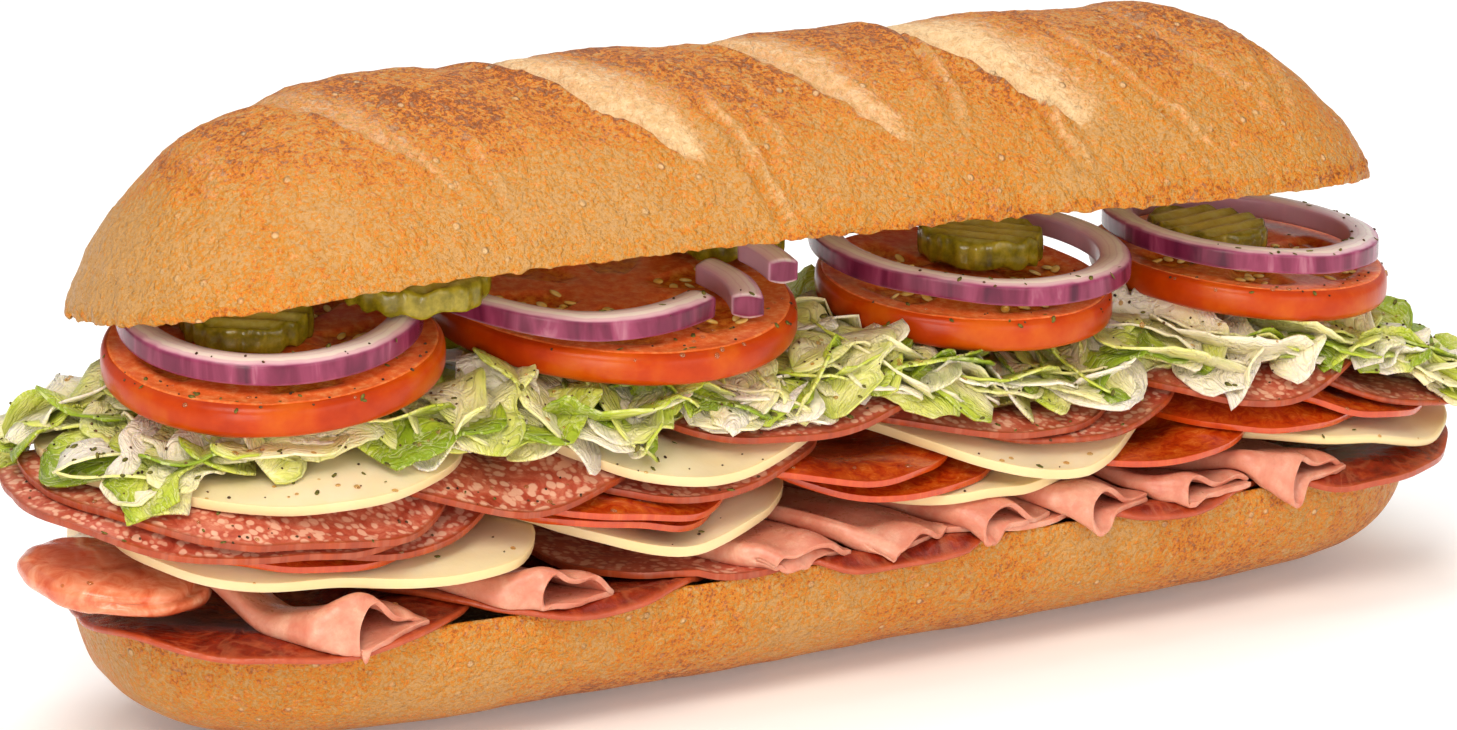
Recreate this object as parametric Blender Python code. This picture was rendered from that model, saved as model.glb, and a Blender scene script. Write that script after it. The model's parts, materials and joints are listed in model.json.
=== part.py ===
"""Submarine sandwich: a long split roll filled with folded ham, capicola, pepperoni,
salami and provolone, topped with shredded lettuce, tomato, red onion and pickle.

The roll lies along X, its front edge faces -Y, and +Z is up. The origin is the middle of
the flat spot under the bottom half. Every filling is laid in order from the bottom half
up, each one settled on the pile of what already lies there. Sizes in the tables are in
millimetres, and MM turns them into Blender's metres.
"""
import math

import bmesh
import bpy
import numpy as np
from mathutils import Matrix

MM = 0.001
GAP = 0.4 * MM                     # clearance kept between two neighbours

# the roll: plan size, height and how square its ends are
LOAF_WIDTH = 90 * MM
HEEL_LENGTH = 310 * MM
HEEL_HEIGHT = 29 * MM
HEEL_END_POWER = 7.0
HEEL_SIDE_POWER = 2.6
CROWN_LENGTH = 294 * MM
CROWN_HEIGHT = 41 * MM
CROWN_END_POWER = 8.0
CROWN_SIDE_POWER = 1.5
CROWN_PLACE = (-6.5 * MM, 0.0, 87 * MM)
CROWN_LIFT = math.radians(-9.6)    # the front edge of the top half is held open
CROWN_LEAN = math.radians(1.2)     # and its -X end sits a little higher
HEEL_HOLLOW = 6 * MM               # the soft crumb gives way under the filling
CROWN_HOLLOW = 8.5 * MM
CROWN_END_DROOP = 4 * MM           # its -X end hangs down over the edge of the filling
END_DROOP_POWER = 5
HOLLOW_POWER = 5
RIM_HEIGHT = 3 * MM                # the short upright side at the cut
PLAN_SIDE_POWER = 2.2
LOAF_RINGS = 5
LOAF_COLUMNS = 32
SCORE_PITCH = 46 * MM              # the baker's cuts across the top
SCORE_START = -104 * MM
SCORE_SLANT = 0.55
SCORE_DEPTH = 2.2 * MM

# the pile: a fine grid of cells that remembers how high the filling has grown
CELL = 1.0 * MM
PILE_HALF_LENGTH = 196 * MM
PILE_HALF_WIDTH = 64 * MM
PILE_FLOOR = 8 * MM
DRAPE_SWEEPS = 60
SLICE_STIFFNESS = 5.5 * MM         # how far a point may hang below its neighbours
LETTUCE_STIFFNESS = 2.5 * MM

# a cold-cut slice: sides round its rim, and rings from its middle outwards
SLICE_SIDES = 12
SLICE_RINGS = (0.55, 1.0)
MEAT_THICKNESS = 1.4 * MM
CHEESE_THICKNESS = 2.0 * MM

# x, y, radius, height of the middle, slope along x, droop of the edge (mm, slope bare)
CAPICOLA = [
    (-121, -7, 38, 29, 0.00, -2),
    (-66, -5, 39, 26, 0.00, -3),
    (4, -7, 38, 26, 0.00, -3),
    (72, -6, 38, 26, 0.00, -3),
    (120, -8, 36, 26, 0.00, -3),
]
FLAT_HAM = [
    (30, -9, 38, 27, 0.00, 0),
]
LOW_CHEESE = [
    (-113, -6, 41, 37, 0.02, 9),
    (-46, -7, 38, 37, 0.03, 9),
    (27, -5, 40, 38, 0.00, 0),
    (121, -8, 39, 38, -0.10, 6),
]
PEPPERONI = [
    (-126, -14, 32, 42, -0.06, 8),
    (-57, -13, 32, 40, -0.05, 8),
    (-55, -13, 33, 43, -0.05, 8),
    (9, -12, 34, 42, -0.02, 2),
    (-3, -11, 35, 45, 0.00, 0),
    (71, -11, 35, 40, 0.00, 2),
    (105, -15, 30, 40, -0.02, 3),
    (122, -16, 29, 42, -0.10, 5),
]
LOWEST_SALAMI = [
    (-31, -13, 34, 27, 0.00, 3),
]
LOW_SALAMI = [
    (-113, 0, 45, 46, -0.06, 11),
    (-37, -3, 41, 48, 0.04, 10),
    (-129, -4, 43, 48, -0.03, 11),
    (-127, -8, 41, 51, 0.03, 11),
    (-82, -3, 42, 52, 0.02, 9),
]
MID_CHEESE = [
    (42, -3, 42, 46, -0.04, 9),
]
MID_SALAMI = [
    (52, -6, 39, 48, -0.03, 5),
    (36, -4, 41, 50, -0.03, 6),
    (130, -10, 33, 44, -0.12, 6),
    (100, -6, 39, 46, -0.06, 6),
]
HIGH_CHEESE = [
    (-122, -4, 42, 55, -0.05, 12),
    (-37, -3, 42, 54, -0.06, 8),
]
HIGH_SALAMI = [
    (-12, -4, 41, 55, -0.12, 8),
]
# slices with corners: how square each is, and how far it is turned
SQUARE_SLICES = {
    "cheese_1": (4.5, math.radians(-4)),
    "cheese_5": (3.0, math.radians(38)),
}
ROUND_SLICE = (2.0, 0.0)

# x of the mouth, width, height, underside, length and overhang of a folded ham slice (mm)
HAM_FOLDS = [
    (-117, 25, 5, 30, 27, 6),
    (-74, 24, 5, 30, 60, 3),
    (-18, 20, 5, 33, 92, 1),
    (8, 18, 4, 32, 90, 0),
    (32, 18, 4, 32, 88, 1),
    (57, 18, 4, 31, 90, 0),
    (81, 18, 4, 30, 88, 0.5),
    (107, 22, 4.5, 30, 90, 1.5),
]
HAM_TURN = math.radians(22)        # the folds run back and towards -X

# x, y, radius, thickness, height of the underside, slopes along x and y
TOMATOES = [
    (-119, -9, 35, 6.5, 68, 0.05, 0.13),
    (-41, -6, 38.5, 6.5, 70, 0.00, 0.13),
    (40, -11, 31.5, 6.5, 66, -0.03, 0.12),
    (112, -9, 33.5, 6.5, 64, -0.08, 0.06),
]
# x, y, radius, height of the underside, slopes along x and y, first and last degree
ONION_RINGS = [
    (-119, -8, 31, 74, 0.04, 0.12, 0, 360),
    (-52, -7, 33, 76, -0.03, 0.13, 150, 308),
    (44, -7, 34, 70, -0.06, 0.09, 0, 360),
    (112, -9, 31, 68, -0.10, 0.04, 0, 360),
]
# loose bits of onion: x, y, radius of the ring they came from, and as above
ONION_BITS = [
    (-52, -21, 33, 76, 0.00, 0.13, -24, 16),
    (-42, -23, 32, 76, 0.00, 0.13, -12, 16),
]
# x, y, radius, thickness, height of the underside, slopes along x and y
PICKLES = [
    (-122, -4, 14, 3.5, 72, 0.04, 0.12),
    (-92, -16, 16.5, 4.5, 76, 0.00, 0.14),
    (-8, 8, 15, 4, 74, -0.06, 0.06),
    (48, -5, 14, 6, 72, -0.04, 0.06),
    (107, -4, 14, 4, 68, -0.06, 0.05),
]
FOLDED_CUT = (-155, -12, 19, 9, 34, -0.12, 0.02)
ONION_WIDTH = 6.5 * MM
ONION_HEIGHT = 6 * MM
ONION_STEP = 18                    # degrees of arc to one step of the mesh


def new_material(name, colour, roughness):
    """A plain Principled material of one colour."""
    material = bpy.data.materials.new(name)
    material.use_nodes = True
    shader = material.node_tree.nodes["Principled BSDF"]
    shader.inputs["Base Color"].default_value = (*colour, 1.0)
    shader.inputs["Roughness"].default_value = roughness
    shader.inputs["Metallic"].default_value = 0.0
    material.diffuse_color = (*colour, 1.0)
    return material


def finish(name, mesh_data, material, collection):
    """Turns a bmesh into a named object in the sandwich's collection."""
    bmesh.ops.recalc_face_normals(mesh_data, faces=mesh_data.faces)
    mesh = bpy.data.meshes.new(name)
    mesh_data.to_mesh(mesh)
    mesh_data.free()
    mesh.materials.append(material)
    mesh.shade_smooth()
    mesh.set_sharp_from_angle(angle=math.radians(50))
    item = bpy.data.objects.new(name, mesh)
    collection.objects.link(item)
    return item


class Pile:
    """How high the filling stands over each cell of the grid, and what rests on it."""

    def __init__(self):
        self.columns = int(2 * PILE_HALF_LENGTH / CELL)
        self.rows = int(2 * PILE_HALF_WIDTH / CELL)
        self.top = np.full((self.columns, self.rows), PILE_FLOOR)

    def cells_under(self, corners, reach):
        """The cells within reach of a triangle, and each cell's share of its corners."""
        low = corners[:, :2].min(axis=0) - reach
        high = corners[:, :2].max(axis=0) + reach
        first_x = max(int((low[0] + PILE_HALF_LENGTH) / CELL), 0)
        first_y = max(int((low[1] + PILE_HALF_WIDTH) / CELL), 0)
        last_x = min(int((high[0] + PILE_HALF_LENGTH) / CELL) + 1, self.columns)
        last_y = min(int((high[1] + PILE_HALF_WIDTH) / CELL) + 1, self.rows)
        column, row = np.meshgrid(np.arange(first_x, last_x), np.arange(first_y, last_y),
                                  indexing="ij")
        x = (column.ravel() + 0.5) * CELL - PILE_HALF_LENGTH
        y = (row.ravel() + 0.5) * CELL - PILE_HALF_WIDTH
        a, b, c = corners[:, :2]
        area = (b[0] - a[0]) * (c[1] - a[1]) - (b[1] - a[1]) * (c[0] - a[0])
        if abs(area) < 1e-12:
            return None
        share_b = ((x - a[0]) * (c[1] - a[1]) - (y - a[1]) * (c[0] - a[0])) / area
        share_c = ((b[0] - a[0]) * (y - a[1]) - (b[1] - a[1]) * (x - a[0])) / area
        shares = np.stack([1 - share_b - share_c, share_b, share_c], axis=1)
        edges = np.array([np.hypot(*(c - b)), np.hypot(*(a - c)), np.hypot(*(b - a))])
        near = (shares * abs(area) / edges > -reach).all(axis=1)
        shares = np.clip(shares[near], 0, 1)
        shares /= shares.sum(axis=1, keepdims=True)
        return column.ravel()[near], row.ravel()[near], shares

    def ground(self):
        """The pile's top, each cell raised to its highest neighbour."""
        grown = self.top.copy()
        grown[1:] = np.maximum(grown[1:], self.top[:-1])
        grown[:-1] = np.maximum(grown[:-1], self.top[1:])
        wide = grown.copy()
        wide[:, 1:] = np.maximum(wide[:, 1:], grown[:, :-1])
        wide[:, :-1] = np.maximum(wide[:, :-1], grown[:, 1:])
        return wide

    def contacts(self, points, triangles):
        """Where triangles lie over the pile: least heights, corners and shares."""
        ground = self.ground()
        heights, corners, shares = [], [], []
        for triangle in triangles:
            found = self.cells_under(points[triangle], CELL / 2)
            if found is None:
                continue
            column, row, share = found
            heights.append(ground[column, row] + GAP)
            corners.append(np.tile(triangle, (len(column), 1)))
            shares.append(share)
        return np.concatenate(heights), np.concatenate(corners), np.concatenate(shares)

    def rest(self, points, triangles):
        """Lifts a stiff piece straight up until it clears the pile."""
        heights, corners, shares = self.contacts(points, triangles)
        lack = heights - (shares * points[corners, 2]).sum(axis=1)
        points[:, 2] += max(lack.max(), 0)
        return points

    def drape(self, points, triangles, neighbours, stiffness):
        """Lowers a soft sheet to its own height or onto the pile, point by point."""
        heights, corners, shares = self.contacts(points, triangles)
        own = points[:, 2].copy()
        points[:, 2] = max(heights.max(), own.max())
        touching = []
        for index in range(len(points)):
            rows, slots = np.nonzero((corners == index) & (shares > 0.2))
            touching.append((rows, shares[rows, slots]))
        for _ in range(DRAPE_SWEEPS):
            for index, (rows, share) in enumerate(touching):
                held = own[index]
                if len(rows):
                    total = (shares[rows] * points[corners[rows], 2]).sum(axis=1)
                    others = total - share * points[index, 2]
                    held = max(held, ((heights[rows] - others) / share).max())
                sag = points[neighbours[index], 2].mean() - stiffness
                points[index, 2] = max(held, sag)
        return self.rest(points, triangles)

    def cover(self, points, triangles):
        """Adds a laid piece to the pile."""
        for triangle in triangles:
            found = self.cells_under(points[triangle], 0.75 * CELL)
            if found is None:
                continue
            column, row, shares = found
            np.maximum.at(self.top, (column, row), shares @ points[triangle, 2])


def mesh_arrays(mesh_data):
    """The points and triangles of a bmesh as arrays."""
    mesh_data.verts.ensure_lookup_table()
    mesh_data.verts.index_update()
    points = np.array([vert.co[:] for vert in mesh_data.verts])
    triangles = [[loop.vert.index for loop in corner] for corner in mesh_data.calc_loop_triangles()]
    return points, triangles


def put_heights(mesh_data, points):
    """Gives the settled heights back to the bmesh."""
    for vert, point in zip(mesh_data.verts, points):
        vert.co.z = point[2]


def neighbour_lists(mesh_data):
    """Each vertex's neighbours, by index."""
    return [[edge.other_vert(vert).index for edge in vert.link_edges] for vert in mesh_data.verts]


def lay_solid(mesh_data, pile):
    """Lifts a closed body straight up until it clears the pile."""
    bmesh.ops.triangulate(mesh_data, faces=mesh_data.faces)
    points, triangles = mesh_arrays(mesh_data)
    points = pile.rest(points, triangles)
    put_heights(mesh_data, points)
    pile.cover(points, triangles)


def drape_sheet(mesh_data, pile, stiffness):
    """Lets a sheet sink onto the pile."""
    bmesh.ops.triangulate(mesh_data, faces=mesh_data.faces)
    points, triangles = mesh_arrays(mesh_data)
    points = pile.drape(points, triangles, neighbour_lists(mesh_data), stiffness)
    put_heights(mesh_data, points)
    return points


def thicken(mesh_data, thickness):
    """Raises a copy of a sheet over it and closes the rim; returns the upper vertices."""
    grown = bmesh.ops.extrude_face_region(mesh_data, geom=mesh_data.faces[:])["geom"]
    upper = [part for part in grown if isinstance(part, bmesh.types.BMVert)]
    bmesh.ops.translate(mesh_data, vec=(0, 0, thickness), verts=upper)
    return upper


# ---------------------------------------------------------------- the roll

def loaf_plan(inset, along, across, half_length, end_power):
    """A point of the roll's outline pulled in by inset; along or across is +-1 on it."""
    half_width = LOAF_WIDTH / 2 - inset
    reach = half_length - inset
    corner_x = 0.5 ** (1 / end_power)
    corner_y = 0.5 ** (1 / PLAN_SIDE_POWER)
    if abs(across) >= 1:
        share = along * corner_x
        y = math.copysign((1 - abs(share) ** end_power) ** (1 / PLAN_SIDE_POWER), across)
        return share * reach, y * half_width
    share = across * corner_y
    x = math.copysign((1 - abs(share) ** PLAN_SIDE_POWER) ** (1 / end_power), along)
    return x * reach, share * half_width


def loaf_half(length, height, end_power, side_power, hollow):
    """Half a roll: its cut face at z = 0, pressed in by hollow, and its round crust above."""
    rows = 2 * LOAF_RINGS
    mesh_data = bmesh.new()
    bmesh.ops.create_grid(mesh_data, x_segments=LOAF_COLUMNS, y_segments=rows, size=1)
    spots = {}
    for vert in mesh_data.verts:
        column = round((vert.co.x + 1) / 2 * LOAF_COLUMNS)
        row = round((vert.co.y + 1) / 2 * rows)
        spots[vert] = (column, row)
    crust = set(mesh_data.verts)
    cut = bmesh.ops.extrude_face_region(mesh_data, geom=mesh_data.faces[:])["geom"]
    cut = {part for part in cut if isinstance(part, bmesh.types.BMVert)}
    places = {(round(vert.co.x, 4), round(vert.co.y, 4)): spots[vert] for vert in crust}
    for vert in cut:
        spots[vert] = places[(round(vert.co.x, 4), round(vert.co.y, 4))]
    for vert, (column, row) in spots.items():
        ring = min(column, LOAF_COLUMNS - column, row, rows - row)
        turn = ring / LOAF_RINGS * math.pi / 2
        width_share = math.cos(turn)
        inset = (1 - width_share) * LOAF_WIDTH / 2
        along = (column - LOAF_COLUMNS / 2) / (LOAF_COLUMNS / 2 - ring)
        across = 0 if ring == LOAF_RINGS else (row - LOAF_RINGS) / (LOAF_RINGS - ring)
        if ring == LOAF_RINGS:
            x, y = along * (length / 2 - inset) * 0.5 ** (1 / end_power), 0
        else:
            x, y = loaf_plan(inset, along, across, length / 2, end_power)
        z = hollow * (1 - width_share ** HOLLOW_POWER)
        if vert in crust:
            rise = (1 - width_share ** side_power) ** (1 / side_power)
            z = RIM_HEIGHT + (height - RIM_HEIGHT) * rise
        vert.co = (x, y, z)
    return mesh_data


def make_heel(pile, material, collection):
    """The bottom half, crust down, with a flat spot to stand on."""
    mesh_data = loaf_half(HEEL_LENGTH, HEEL_HEIGHT, HEEL_END_POWER,
                          HEEL_SIDE_POWER, HEEL_HOLLOW)
    for vert in mesh_data.verts:
        vert.co.y = -vert.co.y
        vert.co.z = HEEL_HEIGHT - vert.co.z
        if vert.co.z < 0.04 * HEEL_HEIGHT:
            vert.co.z = 0
    bmesh.ops.triangulate(mesh_data, faces=mesh_data.faces)
    pile.cover(*mesh_arrays(mesh_data))
    return finish("bread_bottom", mesh_data, material, collection)


def score_relief(x, y):
    """How far the crust dips at the slanting cuts across the top."""
    phase = (x - SCORE_START + SCORE_SLANT * y) / SCORE_PITCH
    return -SCORE_DEPTH * (1 - abs(math.sin(math.pi * phase)))


def make_crown(pile, material, collection):
    """The top half, tilted open at the front and settled on the toppings."""
    mesh_data = loaf_half(CROWN_LENGTH, CROWN_HEIGHT, CROWN_END_POWER,
                          CROWN_SIDE_POWER, CROWN_HOLLOW)
    for vert in mesh_data.verts:
        top_share = vert.co.z / CROWN_HEIGHT
        if top_share > 0:
            vert.co.z += score_relief(vert.co.x, vert.co.y) * top_share
        end_share = max(-vert.co.x / (CROWN_LENGTH / 2), 0)
        vert.co.z -= CROWN_END_DROOP * end_share ** END_DROOP_POWER
    tilt = Matrix.Rotation(CROWN_LEAN, 4, "Y") @ Matrix.Rotation(CROWN_LIFT, 4, "X")
    bmesh.ops.transform(mesh_data, matrix=Matrix.Translation(CROWN_PLACE) @ tilt,
                        verts=mesh_data.verts)
    bmesh.ops.triangulate(mesh_data, faces=mesh_data.faces)
    points, triangles = mesh_arrays(mesh_data)
    points = pile.rest(points, triangles)
    put_heights(mesh_data, points)
    return finish("bread_top", mesh_data, material, collection)


# ---------------------------------------------------------------- flat slices

def wavy(radius, angle, seed, outline=ROUND_SLICE):
    """A slice's radius at an angle: round or square, but never quite."""
    power, turn = outline
    side = abs(math.cos(angle - turn)) ** power + abs(math.sin(angle - turn)) ** power
    radius /= side ** (1 / power)
    swell = 0.018 * math.sin(2 * angle + seed) + 0.012 * math.sin(3 * angle + 2.3 * seed)
    return radius * (1 + swell)


def disc_sheet(radius, seed, outline):
    """A flat disc at the origin, as a middle fan and one ring of faces."""
    mesh_data = bmesh.new()
    bmesh.ops.create_circle(mesh_data, cap_ends=True, cap_tris=True, segments=SLICE_SIDES,
                            radius=SLICE_RINGS[0])
    for inner, outer in zip(SLICE_RINGS, SLICE_RINGS[1:]):
        edges = [edge for edge in mesh_data.edges if edge.is_boundary]
        grown = bmesh.ops.extrude_edge_only(mesh_data, edges=edges)["geom"]
        rim = [part for part in grown if isinstance(part, bmesh.types.BMVert)]
        bmesh.ops.scale(mesh_data, vec=(outer / inner, outer / inner, 1), verts=rim)
    for vert in mesh_data.verts:
        size = wavy(radius, math.atan2(vert.co.y, vert.co.x), seed, outline)
        vert.co *= size
    return mesh_data


def lay_slice(name, spot, thickness, seed, pile, material, collection):
    """One cold cut or cheese slice, drooping over what it lies on."""
    x, y, radius, height, slope, droop = spot
    mesh_data = disc_sheet(radius * MM, seed, SQUARE_SLICES.get(name, ROUND_SLICE))
    for vert in mesh_data.verts:
        share = vert.co.length / (radius * MM)
        across = vert.co.y / (radius * MM)
        fall = droop * (0.7 * across ** 2 + 0.3 * share ** 2) * MM
        vert.co.z = height * MM + slope * vert.co.x - fall
        vert.co.x += x * MM
        vert.co.y += y * MM
    drape_sheet(mesh_data, pile, SLICE_STIFFNESS)
    thicken(mesh_data, thickness)
    pile.cover(*mesh_arrays(mesh_data))
    return finish(name, mesh_data, material, collection)


def lay_slices(kind, first, spots, thickness, pile, material, collection):
    """A row of slices of one kind, numbered from first."""
    for index, spot in enumerate(spots):
        number = first + index
        lay_slice(f"{kind}_{number}", spot, thickness, 1.7 * number, pile, material, collection)


# ---------------------------------------------------------------- folded ham

FOLD_SECTIONS = (0, 0.045, 0.1, 0.3, 0.6, 1)
FOLD_ARC = 4
FOLD_FRONT = -48 * MM
LIP_REACH = 0.45                   # how far a mouth sticks out for each mm it hangs
LIP_DROOP = (1, 0.4, 0, 0, 0, 0)   # share of the overhang at each section
HAM_STIFFNESS = 4.5 * MM
HAM_THICKNESS = 1.2 * MM


def fold_profile(width, height):
    """A sheet folded back over itself, open towards +X: lower leaf, round back, upper leaf."""
    radius = height / 2
    back = -width / 2 + radius
    points = [(width / 2, 0.0), (0.0, 0.0)]
    for step in range(FOLD_ARC + 1):
        angle = -math.pi / 2 - math.pi * step / FOLD_ARC
        points.append((back + radius * math.cos(angle), radius + radius * math.sin(angle)))
    points.append((width / 6, 0.97 * height))
    points.append((width * 0.42, 0.75 * height))
    return points


def fold_footing(mouth_x, width, bottom, length, overhang, pile):
    """The height of the pile's surface under a fold, as a settled strip of points."""
    mesh_data = bmesh.new()
    steps = len(FOLD_SECTIONS) - 1
    bmesh.ops.create_grid(mesh_data, x_segments=4, y_segments=steps, size=1)
    for vert in mesh_data.verts:
        section = round((vert.co.y + 1) / 2 * steps)
        back = FOLD_SECTIONS[section] * length
        x = mouth_x + vert.co.x * (width / 2 + HAM_THICKNESS) - math.tan(HAM_TURN) * back
        droop = overhang * LIP_DROOP[section]
        y = FOLD_FRONT - LIP_REACH * droop + back
        vert.co = (x, y, bottom - HAM_THICKNESS - droop)
    points = drape_sheet(mesh_data, pile, HAM_STIFFNESS)
    mesh_data.free()
    return points


def lay_fold(name, spot, pile, material, collection):
    """A ham slice folded over, its open mouth to the front."""
    mouth_x, width, height, bottom, length, overhang = (value * MM for value in spot)
    footing = fold_footing(mouth_x, width, bottom, length, overhang, pile)
    mesh_data = bmesh.new()
    previous = None
    for share, droop_share in zip(FOLD_SECTIONS, LIP_DROOP):
        narrowing = 1 - 0.2 * math.sin(math.pi * share)
        y = FOLD_FRONT - LIP_REACH * overhang * droop_share + length * share
        x = mouth_x - math.tan(HAM_TURN) * length * share
        strip = footing[np.abs(footing[:, 1] - y) < CELL / 2]
        strip = strip[np.argsort(strip[:, 0])]
        ring = []
        for px, pz in fold_profile(width, height * narrowing):
            ground = np.interp(x + px, strip[:, 0], strip[:, 2]) + HAM_THICKNESS
            ring.append(mesh_data.verts.new((x + px, y, ground + pz)))
        if previous:
            for step in range(len(ring) - 1):
                mesh_data.faces.new((previous[step], previous[step + 1],
                                     ring[step + 1], ring[step]))
        previous = ring
    bmesh.ops.recalc_face_normals(mesh_data, faces=mesh_data.faces)
    bmesh.ops.solidify(mesh_data, geom=mesh_data.faces[:], thickness=HAM_THICKNESS)
    lay_solid(mesh_data, pile)
    return finish(name, mesh_data, material, collection)


# ---------------------------------------------------------------- lettuce

LETTUCE_COLUMNS = 38
LETTUCE_ROWS = 8
LETTUCE_HALF_LENGTH = 164 * MM
LETTUCE_HALF_WIDTH = 39 * MM
LETTUCE_PLACE = 2 * MM


def lettuce_depth(x, y):
    """Thickness of the shredded bed, deeper between the tomatoes and uneven all over."""
    mound = 0
    for centre in (-84 * MM, -5 * MM, 70 * MM):
        mound += 3 * MM * math.exp(-((x - centre) / (9 * MM)) ** 2)
    ripple = math.sin(x / (7 * MM) + 1.3 * math.sin(y / (9 * MM)))
    ripple *= math.cos(y / (6.5 * MM) + x / (31 * MM))
    thinning = 2 * MM * (x / LETTUCE_HALF_LENGTH)
    return 4.5 * MM + mound - thinning + 1.2 * MM * ripple


def make_lettuce(pile, material, collection):
    """The bed of shredded lettuce as one uneven body, ragged at its edge."""
    mesh_data = bmesh.new()
    bmesh.ops.create_grid(mesh_data, x_segments=LETTUCE_COLUMNS, y_segments=LETTUCE_ROWS, size=1)
    for vert in mesh_data.verts:
        u, v = vert.co.x, vert.co.y
        x = u * math.sqrt(1 - 0.35 * v * v)
        y = v * math.sqrt(1 - 0.35 * u ** 6)
        edge = max(abs(u), abs(v))
        angle = math.atan2(v, u * 3)
        ragged = 1 + 0.05 * math.sin(17 * angle) * edge + 0.03 * math.sin(41 * angle + 1) * edge
        vert.co.x = LETTUCE_PLACE + x * LETTUCE_HALF_LENGTH * (1 + (ragged - 1) * 0.4)
        vert.co.y = y * LETTUCE_HALF_WIDTH * ragged
        vert.co.z = (50 - 5 * u - 12 * abs(v) ** 3 - 8 * abs(u) ** 6) * MM
    rim = {vert for vert in mesh_data.verts if vert.is_boundary}
    rim = {(round(vert.co.x, 5), round(vert.co.y, 5)) for vert in rim}
    drape_sheet(mesh_data, pile, LETTUCE_STIFFNESS)
    for vert in thicken(mesh_data, 0):
        thin = 0.45 if (round(vert.co.x, 5), round(vert.co.y, 5)) in rim else 1.0
        vert.co.z += thin * lettuce_depth(vert.co.x, vert.co.y)
    pile.cover(*mesh_arrays(mesh_data))
    return finish("lettuce", mesh_data, material, collection)


# ---------------------------------------------------------------- toppings

def lay_disc(name, spot, sides, pile, material, collection):
    """A firm round slice, such as tomato or pickle, lying tilted on the pile."""
    x, y, radius, thickness, height, slope_x, slope_y = spot
    mesh_data = bmesh.new()
    bmesh.ops.create_cone(mesh_data, cap_ends=True, cap_tris=False, segments=sides,
                          radius1=radius * MM, radius2=radius * 0.985 * MM,
                          depth=thickness * MM)
    for vert in mesh_data.verts:
        angle = math.atan2(vert.co.y, vert.co.x)
        size = wavy(1, angle, x)
        vert.co.x *= size
        vert.co.y *= size
        vert.co.z += (height + thickness / 2) * MM + slope_x * vert.co.x + slope_y * vert.co.y
        vert.co.x += x * MM
        vert.co.y += y * MM
    rims = [edge for edge in mesh_data.edges if len(edge.link_faces) == 2
            and max(len(face.verts) for face in edge.link_faces) > 4]
    bmesh.ops.bevel(mesh_data, geom=rims, offset=0.9 * MM, segments=1, affect="EDGES")
    lay_solid(mesh_data, pile)
    return finish(name, mesh_data, material, collection)


def lay_nose(name, spot, pile, material, collection):
    """A thick cold cut folded in two, its round back sticking out at the -X end."""
    x, y, radius, thickness, height, slope_x, slope_y = spot
    mesh_data = bmesh.new()
    bmesh.ops.create_uvsphere(mesh_data, u_segments=16, v_segments=8, radius=1)
    for vert in mesh_data.verts:
        flat = math.copysign(abs(vert.co.z) ** 0.6, vert.co.z)
        px = vert.co.x * radius * MM
        py = vert.co.y * radius * 1.15 * MM
        pz = height * MM + (flat + 1) / 2 * thickness * MM + slope_x * px + slope_y * py
        vert.co = (x * MM + px, y * MM + py, pz)
    lay_solid(mesh_data, pile)
    return finish(name, mesh_data, material, collection)


def lay_onion(name, spot, pile, material, collection):
    """A ring of onion, or the arc of one that was cut through."""
    x, y, radius, height, slope_x, slope_y, first, last = spot
    closed = last - first == 360
    steps = 20 if closed else math.ceil((last - first) / ONION_STEP)
    inner = radius * MM - ONION_WIDTH
    middle = (radius * MM + inner) / 2
    section = [(radius * MM, 0.18), (radius * MM, 0.82), (middle, 1.0),
               (inner, 0.82), (inner, 0.18), (middle, 0.0)]
    mesh_data = bmesh.new()
    rings = []
    for step in range(steps if closed else steps + 1):
        angle = math.radians(first + (last - first) * step / steps)
        ring = []
        for reach, level in section:
            size = wavy(reach, angle, radius)
            px = size * math.cos(angle)
            py = size * math.sin(angle)
            pz = height * MM + level * ONION_HEIGHT + slope_x * px + slope_y * py
            ring.append(mesh_data.verts.new((x * MM + px, y * MM + py, pz)))
        rings.append(ring)
    pairs = list(zip(rings, rings[1:] + rings[:1])) if closed else list(zip(rings, rings[1:]))
    for one, two in pairs:
        for step in range(len(section)):
            after = (step + 1) % len(section)
            mesh_data.faces.new((one[step], one[after], two[after], two[step]))
    if not closed:
        mesh_data.faces.new(rings[0])
        mesh_data.faces.new(rings[-1][::-1])
    lay_solid(mesh_data, pile)
    return finish(name, mesh_data, material, collection)


def make_materials():
    """The food's colours."""
    return {
        "crust": new_material("crust", (0.78, 0.45, 0.17), 0.55),
        "ham": new_material("ham", (0.80, 0.42, 0.34), 0.35),
        "capicola": new_material("capicola", (0.28, 0.05, 0.03), 0.3),
        "cheese": new_material("cheese", (0.92, 0.80, 0.52), 0.4),
        "pepperoni": new_material("pepperoni", (0.62, 0.12, 0.03), 0.3),
        "salami": new_material("salami", (0.52, 0.17, 0.12), 0.35),
        "lettuce": new_material("lettuce", (0.52, 0.62, 0.16), 0.4),
        "tomato": new_material("tomato", (0.75, 0.11, 0.02), 0.2),
        "onion": new_material("onion", (0.42, 0.12, 0.30), 0.3),
        "pickle": new_material("pickle", (0.30, 0.32, 0.05), 0.25),
    }


def clear_scene():
    """Removes whatever the scene holds."""
    for item in list(bpy.data.objects):
        bpy.data.objects.remove(item, do_unlink=True)


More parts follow.
